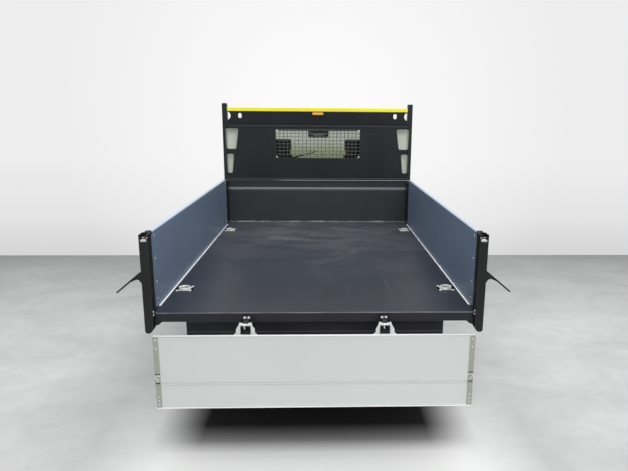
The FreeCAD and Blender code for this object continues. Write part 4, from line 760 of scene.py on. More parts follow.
class Piece:
    """Collects the faces of one piece, each in the finish it is made of."""

    def __init__(self, name):
        self.name, self.mesh, self.finishes = name, bmesh.new(), []

    def take(self, part, maker, matrix=None):
        material = finish(maker)
        if material not in self.finishes:
            self.finishes.append(material)
        if matrix is not None:
            bmesh.ops.transform(part, matrix=matrix, verts=part.verts)
        for face in part.faces:
            face.material_index = self.finishes.index(material)
        passing = bpy.data.meshes.new("passing")
        part.to_mesh(passing)
        part.free()
        self.mesh.from_mesh(passing)
        bpy.data.meshes.remove(passing)

    def block(self, corner, opposite, maker, radius=0.0, steps=2):
        self.take(cuboid(corner, opposite, radius, steps), maker)

    def turned(self, profile, start, axis, maker, sides=32):
        """Revolve (distance along the axis, radius) points about the axis through start."""
        part = bmesh.new()
        verts = [part.verts.new((radius, 0, distance)) for distance, radius in profile]
        edges = [part.edges.new(pair) for pair in zip(verts, verts[1:])]
        bmesh.ops.spin(part, geom=verts + edges, cent=(0, 0, 0), axis=(0, 0, 1), angle=2 * math.pi,
                       steps=sides, use_merge=True)
        bmesh.ops.remove_doubles(part, verts=part.verts, dist=1e-6)
        bmesh.ops.recalc_face_normals(part, faces=part.faces)
        turn = Vector(axis).normalized().to_track_quat("Z", "Y").to_matrix().to_4x4()
        self.take(part, maker, Matrix.Translation(start) @ turn)

    def rod(self, start, end, radius, maker, sides=20):
        """Round bar with broken edges."""
        run = (Vector(end) - Vector(start)).length
        edge = min(radius, run) * 0.2
        profile = [(0, 0), (0, radius - edge), (edge, radius), (run - edge, radius),
                   (run, radius - edge), (run, 0)]
        self.turned(profile, start, Vector(end) - Vector(start), maker, sides)

    def dome(self, place, axis, radius, maker, sides=14):
        """Rivet head."""
        profile = [(-0.001, radius), (0.0, radius), (radius * 0.32, radius * 0.8),
                   (radius * 0.5, radius * 0.42), (radius * 0.55, 0)]
        self.turned(profile, place, axis, maker, sides)

    def hex_head(self, place, axis, radius, maker):
        """Hexagon screw head on its washer."""
        axis = Vector(axis).normalized()
        washer = [(0, 0), (0, radius * 1.55), (radius * 0.2, radius * 1.5), (radius * 0.2, 0)]
        self.turned(washer, place, axis, maker, 20)
        head = [(0, 0), (0, radius), (radius * 0.62, radius), (radius * 0.75, radius * 0.8),
                (radius * 0.75, 0)]
        self.turned(head, Vector(place) + axis * radius * 0.2, axis, maker, 6)

    def tube(self, points, radius, maker, sides=10, closed=False):
        """Round bar along a path."""
        part = bmesh.new()
        path = [Vector(p) for p in points]
        count = len(path)
        rings, side = [], None
        for i, point in enumerate(path):
            before = path[i - 1] if closed or i else point
            after = path[(i + 1) % count] if closed or i < count - 1 else point
            ahead = (after - before).normalized()
            if side is None:
                side = ahead.orthogonal().normalized()
            side = (side - ahead * side.dot(ahead)).normalized()
            other = ahead.cross(side)
            ring = []
            for k in range(sides):
                a = 2 * math.pi * k / sides
                out = side * math.cos(a) + other * math.sin(a)
                ring.append(part.verts.new(point + out * radius))
            rings.append(ring)
        for first, second in zip(rings, rings[1:]):
            for k in range(sides):
                n = (k + 1) % sides
                part.faces.new((first[k], first[n], second[n], second[k]))
        if closed:
            start, end = rings[0], rings[-1]
            shift = min(range(sides), key=lambda s: (end[0].co - start[s].co).length)
            for k in range(sides):
                part.faces.new((end[k], end[(k + 1) % sides], start[(k + 1 + shift) % sides],
                                start[(k + shift) % sides]))
        else:
            part.faces.new(reversed(rings[0]))
            part.faces.new(rings[-1])
        bmesh.ops.recalc_face_normals(part, faces=part.faces)
        self.take(part, maker)

    def plate(self, outline, thickness, maker, radius=0.0):
        """Flat outline pushed out along a vector."""
        part = bmesh.new()
        face = part.faces.new([part.verts.new(p) for p in outline])
        grown = bmesh.ops.extrude_face_region(part, geom=[face])
        moved = [v for v in grown["geom"] if isinstance(v, bmesh.types.BMVert)]
        bmesh.ops.translate(part, vec=thickness, verts=moved)
        bmesh.ops.recalc_face_normals(part, faces=part.faces)
        rounded(part, radius, 2)
        self.take(part, maker)

    def finished(self, body, sharp=35.0):
        """Turns what was collected into an object that rides on a body."""
        mesh = bpy.data.meshes.new(self.name)
        self.mesh.to_mesh(mesh)
        self.mesh.free()
        for material in self.finishes:
            mesh.materials.append(material)
        mesh.shade_smooth()
        mesh.set_sharp_from_angle(angle=math.radians(sharp))
        thing = placed(bpy.data.objects.new(self.name, mesh))
        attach(thing, body)
        return thing


def arc(middle, across, up, radius, start, end, steps):
    """Points on an arc in the plane of two unit vectors, angles in degrees."""
    turn = [math.radians(start + (end - start) * i / steps) for i in range(steps + 1)]
    return [Vector(middle) + (Vector(across) * math.cos(a) + Vector(up) * math.sin(a)) * radius
            for a in turn]


def outlines(node, look, keep=lambda point: True, least=0.9):
    """Closed outlines of a CAD node's faces that look one way, the longest first."""
    mesh = bmesh.new()
    mesh.from_mesh(frame["nodes"][node].data)
    bmesh.ops.remove_doubles(mesh, verts=mesh.verts, dist=1e-5)
    look = Vector(look).normalized()
    picked = {f for f in mesh.faces if f.normal.dot(look) > least and keep(f.calc_center_median())}
    joins = {}
    for edge in mesh.edges:
        if sum(f in picked for f in edge.link_faces) == 1:
            for end in edge.verts:
                joins.setdefault(end, []).append(edge.other_vert(end))
    loops = []
    while joins:
        start = next(iter(joins))
        loop, before, here = [start.co.copy()], None, start
        while True:
            onward = [v for v in joins.pop(here, [])
                      if v is not before and (v in joins or v is start)]
            if not onward or onward[0] is start and len(loop) > 2:
                break
            before, here = here, onward[0]
            loop.append(here.co.copy())
        loops.append(loop)
    mesh.free()
    return sorted(loops, key=lambda loop: -sum((a - b).length for a, b in zip(loop, loop[1:])))


def even(loop, step):
    """The same closed outline with points no further apart than a step."""
    points = []
    for start, end in zip(loop, loop[1:] + loop[:1]):
        count = max(1, math.ceil((end - start).length / step))
        points += [start.lerp(end, i / count) for i in range(count)]
    return points


# ---------------------------------------------------------------- pieces

NODE_FINISH = {
    "bed_frame": under_bed_paint, "headboard": headboard_paint, "bed_floor": floor_paint,
    "side_board_left": board_metal, "side_board_right": board_metal, "tailgate": gate_metal,
    "window_mesh": galvanised_wire, "cab_floor": cab_inside, "cab_back": cab_back_paint_and_light,
}
SLOT_FINISH = {
    "black_paint": black_paint, "cab_paint": cab_paint, "clear_glass": clear_glass,
    "aluminium_profile": board_metal, "tyre_rubber": rubber, "silver_paint": wheel_paint,
    "black_plastic": black_plastic, "bare_casting": cast_metal, "seat_fabric": seat_cloth,
    "yellow_paint": yellow_paint, "zinc_steel": zinc_plate, "chromed_rod": chrome,
    "lamp_lens": lamp_lens, "red_lens": red_lens,
}


def paint_frame():
    """Gives every CAD node its finish."""
    slots = {part["node"]: part["material_slot"] for part in frame["record"]["subparts"]}
    for node, thing in frame["nodes"].items():
        maker = NODE_FINISH.get(node) or SLOT_FINISH[slots[node]]
        thing.data.materials.clear()
        thing.data.materials.append(finish(maker))


TREAD_PITCHES = 52
GROOVES = (0.024, 0.052)            # grooves round the tyre, from its middle
GROOVE_HALF, GROOVE_EDGE = 0.0035, 0.001
CUTS = ((0.0, 0), (0.02, 0), (0.035, 1), (0.13, 1), (0.145, 0), (0.5, 0), (0.515, 2), (0.61, 2),
        (0.625, 0))                 # along one pitch: place, and which ribs are cut there
CUT_SHARE = 0.8                     # depth of a cross cut against that of a groove
CUT_REACH = 0.030                   # cross cuts end so far below the crown
BEAD_INSET = 0.012                  # the tyre's foot, inside the rim's edge
DISC_INSET = 0.035                  # the wheel's disc, inside the rim's outer face


def tyre_profile(half, bead, radius):
    """Half of the tyre's section: (distance from the middle plane, radius, groove share)."""
    rows = [(0.0, radius, 0)]
    for groove in GROOVES:
        rows += [(groove - GROOVE_HALF - GROOVE_EDGE, radius, 0), (groove - GROOVE_HALF, radius, 1),
                 (groove + GROOVE_HALF, radius, 1), (groove + GROOVE_HALF + GROOVE_EDGE, radius, 0)]
    rows += [(0.066, radius - 0.0015, 0), (0.076, radius - 0.004, 0)]
    rows += [(half - inward, radius - down, 0)
             for inward, down in ((0.010, 0.012), (0.005, 0.024), (0.0055, 0.036), (0.003, 0.040),
                                  (0.0, 0.070), (0.002, 0.090), (0.0045, 0.092), (0.007, 0.110))]
    rows += [(half - 0.012, bead + 0.016, 0), (half - 0.018, bead + 0.012, 0),
             (half - 0.018, bead, 0)]
    return rows


def tyre(end, side):
    """Tyre with ribs, cross cuts at staggered places and a stepped side wall."""
    node = f"tyre_{end}_{side}"
    middle, half = centre(node), (high(node).x - low(node).x) / 2
    bead = high(f"rim_{end}_{side}").z - middle.z - BEAD_INSET
    rows = tyre_profile(half, bead, WHEEL_RADIUS)
    rows = [(-x, r, g) for x, r, g in reversed(rows[1:])] + rows
    depth = sizes().tread_depth
    part = bmesh.new()
    rings = []
    for pitch, (share, cut) in itertools.product(range(TREAD_PITCHES), CUTS):
        angle = (pitch + share) / TREAD_PITCHES * 2 * math.pi
        ring = []
        for x, radius, groove in rows:
            rib = sum(abs(x) > g for g in GROOVES)
            crossed = (cut == 1 + rib % 2 and 0.001 < abs(x) < half - 0.004
                       and radius > WHEEL_RADIUS - CUT_REACH)
            sunk = depth if groove else (depth * CUT_SHARE if crossed else 0.0)
            r = radius - sunk
            ring.append(part.verts.new((middle.x + x, middle.y + r * math.cos(angle),
                                        middle.z + r * math.sin(angle))))
        rings.append(ring)
    for first, second in zip(rings, rings[1:] + rings[:1]):
        for k in range(len(rows) - 1):
            part.faces.new((first[k], first[k + 1], second[k + 1], second[k]))
        part.faces.new((first[-1], first[0], second[0], second[-1]))
    bmesh.ops.recalc_face_normals(part, faces=part.faces)
    piece = Piece(f"treaded_tyre_{end}_{side}")
    piece.take(part, rubber)
    thing = piece.finished(f"{end}_wheel_{side}", 30)
    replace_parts(thing, node)


def wheel_trim(end, side, sign):
    """Wheel nuts on their ring, and a valve."""
    node = f"rim_{end}_{side}"
    middle, out = centre(node), X * sign
    nut_circle, nut_radius, nuts = 0.072, 0.0105, 6
    face = (high(node).x if sign > 0 else low(node).x) - sign * DISC_INSET
    piece = Piece(f"wheel_nuts_{end}_{side}")
    for i in range(nuts):
        angle = math.radians(360 // nuts * i + 22.5)
        place = Vector((face, middle.y + nut_circle * math.cos(angle),
                        middle.z + nut_circle * math.sin(angle)))
        piece.hex_head(place, out, nut_radius, zinc_plate)
    valve = Vector((face - sign * 0.018, middle.y + 0.158, middle.z))
    piece.rod(valve, valve + out * 0.03, 0.004, rubber, 10)
    piece.finished(f"{end}_wheel_{side}")


BOARD_RISES = (0.045, 0.141, 0.273, 0.400)      # rivets of a side board, above the floor
RAIL_RADIUS = 0.0129
STRIP_START, STRIP_HEIGHT = POST_FRONT + 0.078, 0.0035


def board_fittings(side, sign):
    """Rivets, end caps and rounded rail of a side board, and the bright strip along its foot."""
    body = f"side_board_{side}"
    rear, face = low(body).y, sign * BOARD_IN
    piece = Piece(f"board_rivets_{side}")
    for end in (rear + 0.072, BOARD_END - 0.045):
        for rise in BOARD_RISES:
            piece.dome((face, end, FLOOR_TOP + rise), -X * sign, sizes().rivet_radius, zinc_plate)
    cap = rear - 0.001
    piece.block((sign * (BOARD_IN + 0.002), cap, FLOOR_TOP - 0.015),
                (sign * (BOARD_IN + 0.022), cap + 0.003, BOARD_TOP - 0.003), black_plastic, 0.001)
    piece.block((sign * (BOARD_IN - 0.002), cap, RAIL_TOP - 0.020),
                (sign * (BOARD_IN + 0.027), cap + 0.034, RAIL_TOP + 0.003), black_plastic, 0.003)
    piece.finished(body)
    rail = Piece(f"board_rail_{side}")
    near, far = (Vector((sign * (BOARD_IN + inward), 0, 0)) for inward in (-0.0004, 0.0254))
    foot, shoulder = Z * (BOARD_TOP - 0.014), Z * (RAIL_TOP - 0.0128)
    crown = arc((near + far) / 2 + shoulder, -X * sign, Z, RAIL_RADIUS, 0, 180, 12)
    section = [Vector((p.x, rear, p.z)) for p in (near + foot, *crown, far + foot)]
    rail.plate(section, Y * (BOARD_END - rear), board_metal)
    rail.finished(body)
    strip = Piece(f"floor_strip_{side}")
    strip.block((face - sign * sizes().strip_width, STRIP_START, FLOOR_TOP),
                (face - sign * 0.001, BOARD_END, FLOOR_TOP + STRIP_HEIGHT), bright_strip, 0.001)
    strip.finished("bed")


GATE_SHARES = (0.045, 0.155, 0.825, 0.88, 0.935)    # rivets of an end plate, down its height
CATCH_SHARE = 0.575
# One strap of a hinge: from the hinge's middle, above the tailgate's hinged edge.
STRAP = ((0.030, 0.0005), (0.064, 0.0005), (0.050, 0.013), (0.050, 0.031), (0.038, 0.051),
         (0.030, 0.051))


def gate_fittings():
    """Lip with a painted highlight along it, hinge straps, rivets and hooked catches of the
    tailgate.
    """
    lip = Piece("gate_lip")
    lip.block((-GATE_HALF, GATE_REAR - 0.0003, PLATE_TOP - 0.001),
              (GATE_HALF, GATE_REAR + 0.0135, PLATE_TOP + 0.0065), gate_metal, 0.004, 3)
    for x in (-HINGE_X, HINGE_X):
        for sign in (-1, 1):
            flare = [Vector((x + sign * aside, HINGE_FACE, PLATE_TOP + rise))
                     for aside, rise in STRAP]
            lip.plate(flare, -Y * 0.002, zinc_plate, 0.0004)
    lip.finished("tailgate")
    piece = Piece("gate_rivets")
    height, face = PLATE_TOP - GATE_LOW, GATE_REAR
    for sign in (-1, 1):
        x = sign * (GATE_HALF - 0.014)
        for share in GATE_SHARES:
            place = (x, face + 0.001, PLATE_TOP - height * share)
            piece.dome(place, -Y, sizes().rivet_radius, zinc_plate)
        z = PLATE_TOP - height * CATCH_SHARE
        for bar in (z + 0.026, z - 0.026):
            piece.block((x - 0.012, face - 0.0015, bar - 0.003),
                        (x + 0.012, face + 0.001, bar + 0.003), black_paint, 0.0006)
        hook = arc((x, face + 0.002, z + 0.008), X * sign, Z, 0.011, 160, -60, 12)
        hook += [Vector((x - sign * 0.001, face + 0.002, z - down)) for down in (0.006, 0.016)]
        piece.tube(hook, 0.0039, zinc_plate)
    piece.finished("tailgate")


def hinge_bolts():
    """Two domed bolts, the clasped pin and its spring clip on the foot of each tailgate hinge."""
    piece = Piece("hinge_bolts")
    clip = ((-0.004, -0.0045, -0.003), (-0.005, -0.0065, -0.011), (-0.003, -0.0055, -0.021))
    for sign in (-1, 1):
        x = sign * HINGE_X
        for offset in (-0.01025, 0.01025):
            place = Vector((x + offset, FLOOR_REAR - 0.0045, FLOOR_TOP - 0.028))
            piece.dome(place, -Y, sizes().bolt_radius, zinc_plate, 18)
        pin = Vector((x, HINGE_FACE + 0.0035, FLOOR_TOP - 0.045))
        piece.rod(pin - X * 0.014, pin + X * 0.014, 0.006, zinc_plate)
        piece.tube([pin + Vector(point) for point in clip], 0.0032, zinc_plate)
    piece.finished("bed")


def post_fittings():
    """Catch hook in the open top of each rear post, and two rivets at its foot."""
    half = (POST_OUT - POST_IN) / 2 - 0.0045
    y, z = POST_REAR + 0.012, POST_TOP - 0.030
    for side, sign in SIDES:
        piece = Piece(f"post_catch_{side}")
        x = sign * (POST_IN + POST_OUT) / 2
        tongue = [Vector((x + share * half, y, z + rise))
                  for share, rise in ((-1, -0.009), (1, -0.009), (1, 0), (0.45, 0.006),
                                      (-0.45, 0.006), (-1, 0))]
        piece.plate(tongue, -Y * 0.006, zinc_plate, 0.0015)
        piece.block((x - half, y, z - 0.012), (x + half, POST_FRONT - 0.008, z - 0.008),
                    cast_metal, 0.001)
        hook = arc((x, y + 0.022, z - 0.002), Y, Z, 0.013, -80, 150, 10)
        piece.tube(hook, 0.0045, cast_metal)
        piece.rod((x - half, y + 0.036, z + 0.004), (x + half, y + 0.036, z + 0.004), 0.0045,
                  zinc_plate)
        piece.dome((sign * (POST_IN + 0.003), POST_REAR, POST_TOP - 0.016), -Y, 0.0035, zinc_plate)
        for drop in (-0.013, 0.005):
            piece.dome((sign * POST_IN, POST_REAR + 0.016, FLOOR_TOP - drop), -X * sign, 0.0055,
                       zinc_plate)
        piece.finished("bed")


def ring_fittings():
    """Plated cross plate round each tie-down ring, held by four rivets."""
    piece = Piece("ring_plates")
    reach, waist = 0.042, 0.037
    arm = ((waist, waist * 0.45), (reach - 0.004, reach - 0.014), (reach + 0.004, reach - 0.004),
           (reach - 0.004, reach + 0.004), (reach - 0.014, reach - 0.004), (waist * 0.45, waist))
    points = frame["nodes"]["tie_down_rings"].data.vertices
    for sign in (-1, 1):
        cups = sorted({round(v.co.y, 3) for v in points if v.co.x * sign > 0})
        middle = (cups[0] + cups[-1]) / 2
        for group in ([y for y in cups if y < middle], [y for y in cups if y > middle]):
            hub = Vector((sign * (high("tie_down_rings").x - 0.033),
                          (group[0] + group[-1]) / 2 - 0.002, FLOOR_TOP + 0.0005))
            outline = []
            for turn in range(4):
                spin = Matrix.Rotation(math.radians(90 * turn), 3, "Z")
                outline += [hub + spin @ Vector((x, y, 0)) for x, y in arm]
            piece.plate(outline, Z * 0.002, zinc_plate, 0.0006)
            for x, y in itertools.product((-reach, reach), repeat=2):
                piece.dome(hub + Vector((x * 0.95, y * 0.95, 0.002)), Z, 0.0085, zinc_plate)
            ring = arc(hub + Z * 0.008, X, Y * 0.86 + Z * 0.10, 0.031, 0, 345, 23)
            piece.tube(ring, 0.0052, zinc_plate, 8, closed=True)
    piece.finished("bed")


def marker_lamp():
    """Amber marker lamp under the top rail, in its black base."""
    piece = Piece("marker_lamp")
    rail = low("top_rail")
    top = rail.z - 0.006
    piece.block((-0.056, rail.y - 0.004, top - 0.030), (0.056, rail.y + 0.012, top),
                black_plastic, 0.004)
    piece.block((-0.052, rail.y - 0.014, top - 0.026), (0.052, rail.y - 0.004, top - 0.003),
                amber_lens, 0.004, 3)
    piece.finished("bed")


MESH_COLUMNS, MESH_ROWS = 22, 8
MESH_RIM, MESH_WIRE = 0.014, 0.0024


def wire_mesh():
    """Welded round wires in their flat rim, over the headboard's window."""
    piece = Piece("wire_mesh")
    corner, opposite = low("window_mesh"), high("window_mesh")
    half, bottom, top = opposite.x - MESH_RIM, corner.z + MESH_RIM, opposite.z - MESH_RIM
    y, lap = corner.y + 0.0015, 0.006
    for i in range(1, MESH_COLUMNS):
        x = -half + i * 2 * half / MESH_COLUMNS
        piece.tube([(x, y, bottom - lap), (x, y, top + lap)], MESH_WIRE, galvanised_wire, 8)
    for i in range(1, MESH_ROWS):
        z = bottom + i * (top - bottom) / MESH_ROWS
        piece.tube([(-half - lap, y - 0.004, z), (half + lap, y - 0.004, z)], MESH_WIRE,
                   galvanised_wire, 8)
    for x in (-half - MESH_RIM, half):
        piece.block((x, corner.y, corner.z), (x + MESH_RIM, opposite.y, opposite.z), black_paint,
                    0.0008)
    for z in (bottom - MESH_RIM, top):
        piece.block((-half, corner.y, z), (half, opposite.y, z + MESH_RIM), black_paint, 0.0008)
    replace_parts(piece.finished("bed"), "window_mesh")


def mesh_clips():
    """Corner clips and screws that hold the wire mesh."""
    piece = Piece("mesh_clips")
    inset = 0.016
    half = high("window_mesh").x - inset
    base, top = low("window_mesh").z + inset, high("window_mesh").z - inset
    outline = ((0, 0), (0.020, 0), (0.015, 0.006), (0.006, 0.015), (0, 0.020))
    for sign in (-1, 1):
        for z, up in ((base, 1), (top, -1)):
            corner = Vector((sign * half, HEAD_REAR + 0.019, z))
            clip = [corner - X * sign * inward + Z * up * rise for inward, rise in outline]
            piece.plate(clip, -Y * 0.002, zinc_plate, 0.0006)
            piece.dome(corner + Vector((-sign * 0.009, -0.002, up * 0.009)), -Y, 0.005, zinc_plate)
    piece.finished("bed")


def glass_seals():
    """Rubber seals round the windscreen, the rear window and the door windows."""
    radius, step = sizes().seal_radius, 0.08
    piece = Piece("screen_seals")
    middle = centre("cab_glass").y
    screen = outlines("cab_glass", (0, 0.8, 0.5), lambda p: p.y > middle, 0.8)[0]
    piece.tube(even(screen, step), radius * 1.4, rubber, 8, closed=True)
    rear = outlines("cab_glass", -Y, lambda p: p.y < middle)[0]
    piece.tube(even(rear, step), radius, rubber, 8, closed=True)
    piece.finished("chassis")
    for side, sign in SIDES:
        seal = Piece(f"door_seal_{side}")
        pane = outlines(f"door_glass_{side}", X * sign)[0]
        seal.tube(even(pane, step), radius, rubber, 8, closed=True)
        seal.finished(f"door_{side}")


SEAT_X = 0.385
SWELL = 0.022                       # how far the stuffing may push the cover out
VOXEL = 0.009
STUFFING_FRAMES = 20
CUSHION_SEAMS, BACK_SEAMS = (0.82, 0.93, 1.04), (1.10, 1.21, 1.32)


def soft_block(corner, opposite, shape):
    """Rounded closed form to be stuffed; shape moves each of its points."""
    part = cuboid(corner, opposite, 0.026, 4)
    bmesh.ops.subdivide_edges(part, edges=[e for e in part.edges if e.calc_length() > 0.05],
                              cuts=12, use_grid_fill=True)
    for vert in part.verts:
        vert.co = shape(vert.co)
    return part


def blow_up(thing):
    """Lets the stuffing press on a cover, and keeps each point's move under the swell."""
    scene, cover = bpy.context.scene, thing.data
    cloth = thing.modifiers.new("cloth", "CLOTH")
    cloth.settings.use_pressure = True
    cloth.settings.uniform_pressure_force = 4
    cloth.settings.effector_weights.gravity = 0
    cloth.point_cache.frame_start, cloth.point_cache.frame_end = 1, STUFFING_FRAMES
    for step in range(1, STUFFING_FRAMES + 1):
        scene.frame_set(step)
    blown = evaluated(thing)
    thing.modifiers.clear()
    scene.frame_set(1)
    for vert, moved in zip(cover.vertices, blown.vertices):
        push = moved.co - vert.co
        vert.co += push * min(1.0, SWELL / max(push.length, 1e-6))
    bpy.data.meshes.remove(blown)


def stuffed(part, channels):
    """Cover blown up by its stuffing, held in along its sewn channels."""
    mesh = bpy.data.meshes.new("cover")
    part.to_mesh(mesh)
    part.free()
    thing = placed(bpy.data.objects.new("cover", mesh))
    remesh = thing.modifiers.new("remesh", "REMESH")
    remesh.mode, remesh.voxel_size = "VOXEL", VOXEL
    cover = evaluated(thing)
    thing.modifiers.clear()
    thing.data = cover
    blow_up(thing)
    smooth = thing.modifiers.new("smooth", "SUBSURF")
    smooth.levels = smooth.render_levels = 1
    made = evaluated(thing)
    bpy.data.objects.remove(thing)
    form = bmesh.new()
    form.from_mesh(made)
    form.normal_update()
    for used in (mesh, cover, made):
        bpy.data.meshes.remove(used)
    for vert, normal in [(v, v.normal.copy()) for v in form.verts]:
        vert.co -= normal * channels(vert.co, normal)
    return form


def channel(distance, depth=0.009, width=0.008):
    """Depth of a sewn channel so far from its seam."""
    return depth * math.exp(-(distance / width) ** 2)


def cushion_shape(p):
    """Raised at both sides, dropped at the front and a little narrower there."""
    rise = 0.024 * min(1.0, abs(p.x) / 0.22) ** 4 - 0.020 * max(0.0, (p.y - 1.05) / 0.11) ** 2
    return Vector((p.x * (1 - 0.04 * (p.y - 0.7)), p.y, p.z + (rise if p.z > 0.92 else rise * 0.4)))


def cushion_channels(p, n):
    if n.z < 0.3 or abs(p.x) > 0.165:
        return 0.0
    return max([channel(p.y - y) for y in CUSHION_SEAMS]) + channel(abs(p.x) - 0.155)


def back_shape(p):
    """Leant back, with side bolsters and a narrower top."""
    up = (p.z - 1.0) / 0.52
    shoulder = min(1.0, max(0.0, (p.z - 1.36) / 0.10))
    narrow = 1 - 0.38 * shoulder * shoulder * (3 - 2 * shoulder)
    bolster = 0.018 * min(1.0, abs(p.x) / 0.21) ** 4 if p.y > 0.72 else 0.0
    return Vector((p.x * narrow, p.y - 0.040 * up + bolster, p.z))


def back_channels(p, n):
    if n.y < 0.3 or abs(p.x) > 0.16:
        return 0.0
    return max([channel(p.z - z) for z in BACK_SEAMS]) + channel(abs(p.x) - 0.15)


SCREEN_Y, SCREEN_Z = 2.040, 1.240   # a point on the windscreen's outer face
SCREEN_LEAN = 0.58065               # how far it leans back for each metre up
SCREEN_STEP = 1.1563                # way along Y for each metre square to it
SCREEN_OUT = (0, 0.865, 0.502)


def screen_point(x, z, out):
    """A point so far outside the windscreen's face."""
    return Vector((x, SCREEN_Y - (z - SCREEN_Z) * SCREEN_LEAN + out * SCREEN_STEP, z))


def wipers():
    """Two wipers: pivot cap, cranked arm, blade and its carrier."""
    piece = Piece("wipers")
    foot, arm = 1.286, 0.0055
    for x in (-0.60, 0.08):
        piece.turned([(0, 0), (0, 0.018), (0.010, 0.016), (0.014, 0.009), (0.014, 0)],
                     screen_point(x, foot, 0.0), SCREEN_OUT, black_plastic)
        tip = screen_point(x + 0.34, 1.385, 0.020)
        elbow = screen_point(x + 0.10, 1.318, 0.026)
        piece.tube([screen_point(x, foot, 0.012), elbow, tip], arm, black_plastic)
        start, end = screen_point(x + 0.10, 1.300, 0.008), screen_point(x + 0.57, 1.445, 0.008)
        piece.tube([start, end], arm, rubber)
        near, far = (start.lerp(end, share) + Y * 0.006 for share in (0.2, 0.8))
        piece.tube([near, tip, far], 0.003, black_plastic)
    piece.finished("chassis")


def front_trim():
    """Blank plate, fog lamps, turn lamps and washer jets at the front of the cab."""
    piece = Piece("front_trim")
    y, middle = CAB_FRONT, 0.590
    piece.block((-0.268, y - 0.004, 0.528), (0.268, y + 0.004, 0.652), black_plastic, 0.003)
    piece.block((-0.260, y + 0.001, 0.535), (0.260, y + 0.006, 0.645), bright_strip, 0.002)
    for x in (-0.21, 0.21):
        piece.dome((x, y + 0.006, middle), Y, 0.005, zinc_plate)
    for sign in (-1, 1):
        fog = Vector((sign * 0.62, y - 0.002, middle))
        piece.turned([(0, 0), (0, 0.048), (0.008, 0.048), (0.010, 0.040), (0.004, 0.038),
                      (0.004, 0)], fog, Y, black_plastic)
        piece.turned([(0, 0), (0, 0.037), (0.005, 0.030), (0.009, 0.014), (0.010, 0)],
                     fog + Y * 0.001, Y, lamp_lens)
        piece.block((sign * 0.845, y - 0.055, 0.715), (sign * 0.895, y - 0.006, 0.835),
                    amber_lens, 0.010, 3)
        piece.block((sign * (CAB_HALF - 0.011), 2.020, 0.880),
                    (sign * (CAB_HALF + 0.003), 2.080, 0.906), amber_lens, 0.004, 3)
        piece.dome(screen_point(sign * 0.30, 1.262, 0.0), SCREEN_OUT, 0.010, black_plastic)
    piece.finished("chassis")


def lettering(piece, words, size, place, maker):
    """Raised figures that face the driver."""
    curve = bpy.data.curves.new("words", "FONT")
    curve.body, curve.size, curve.extrude = words, size, 0.0003
    curve.align_x = curve.align_y = "CENTER"
    thing = placed(bpy.data.objects.new("words", curve))
    mesh = evaluated(thing)
    bpy.data.objects.remove(thing)
    part = bmesh.new()
    part.from_mesh(mesh)
    bpy.data.meshes.remove(mesh)
    upright = Matrix.Rotation(math.pi / 2, 4, "X")
    piece.take(part, maker, Matrix.Translation(place) @ upright)


DIAL_RADIUS, DIAL_MARKS = 0.050, 13
DIAL_START, DIAL_SWEEP = 220, 260   # degrees, from the first mark round to the last
NEEDLE = math.radians(205)


def instruments():
    """Hooded dials with figures ahead of the steering wheel."""
    piece = Piece("instruments")
    x, y, z = centre("steering_wheel").x, 1.752, 1.252
    half, flat = 0.165, 0.10
    piece.block((x - half, y + 0.004, z - 0.060), (x + half, y + 0.110, z + 0.056),
                black_plastic, 0.018, 4)
    hood = [Vector((x + aside, y - 0.03, z + rise))
            for aside, rise in ((-half, 0.030), (-flat, 0.060), (flat, 0.060), (half, 0.030),
                                (half, 0.036), (flat, 0.067), (-flat, 0.067), (-half, 0.036))]
    piece.plate(hood, Y * 0.07, black_plastic)
    for offset, step in ((-0.072, 20), (0.072, 1)):
        middle = Vector((x + offset, y + 0.003, z))
        piece.turned([(0, 0), (0, DIAL_RADIUS), (0.003, DIAL_RADIUS), (0.003, 0)], middle, -Y,
                     black_plastic)
        piece.tube(arc(middle - Y * 0.003, X, Z, DIAL_RADIUS, 0, 351, 39), 0.002, chrome, 8,
                   closed=True)
        face = middle - Y * 0.004
        for i in range(DIAL_MARKS):
            angle = math.radians(DIAL_START - i * DIAL_SWEEP / (DIAL_MARKS - 1))
            out = X * math.cos(angle) + Z * math.sin(angle)
            piece.tube([face + out * (0.040 if i % 2 else 0.036), face + out * 0.045], 0.0008,
                       bright_strip, 6)
            if i % 2 == 0:
                lettering(piece, str(i // 2 * step), 0.010, face + out * 0.028, bright_strip)
        needle, hub = X * math.cos(NEEDLE) + Z * math.sin(NEEDLE), middle - Y * 0.006
        piece.tube([hub, hub + needle * 0.038], 0.0012, red_lens, 6)
        piece.dome(middle - Y * 0.003, -Y, 0.007, black_plastic)
    piece.finished("chassis")


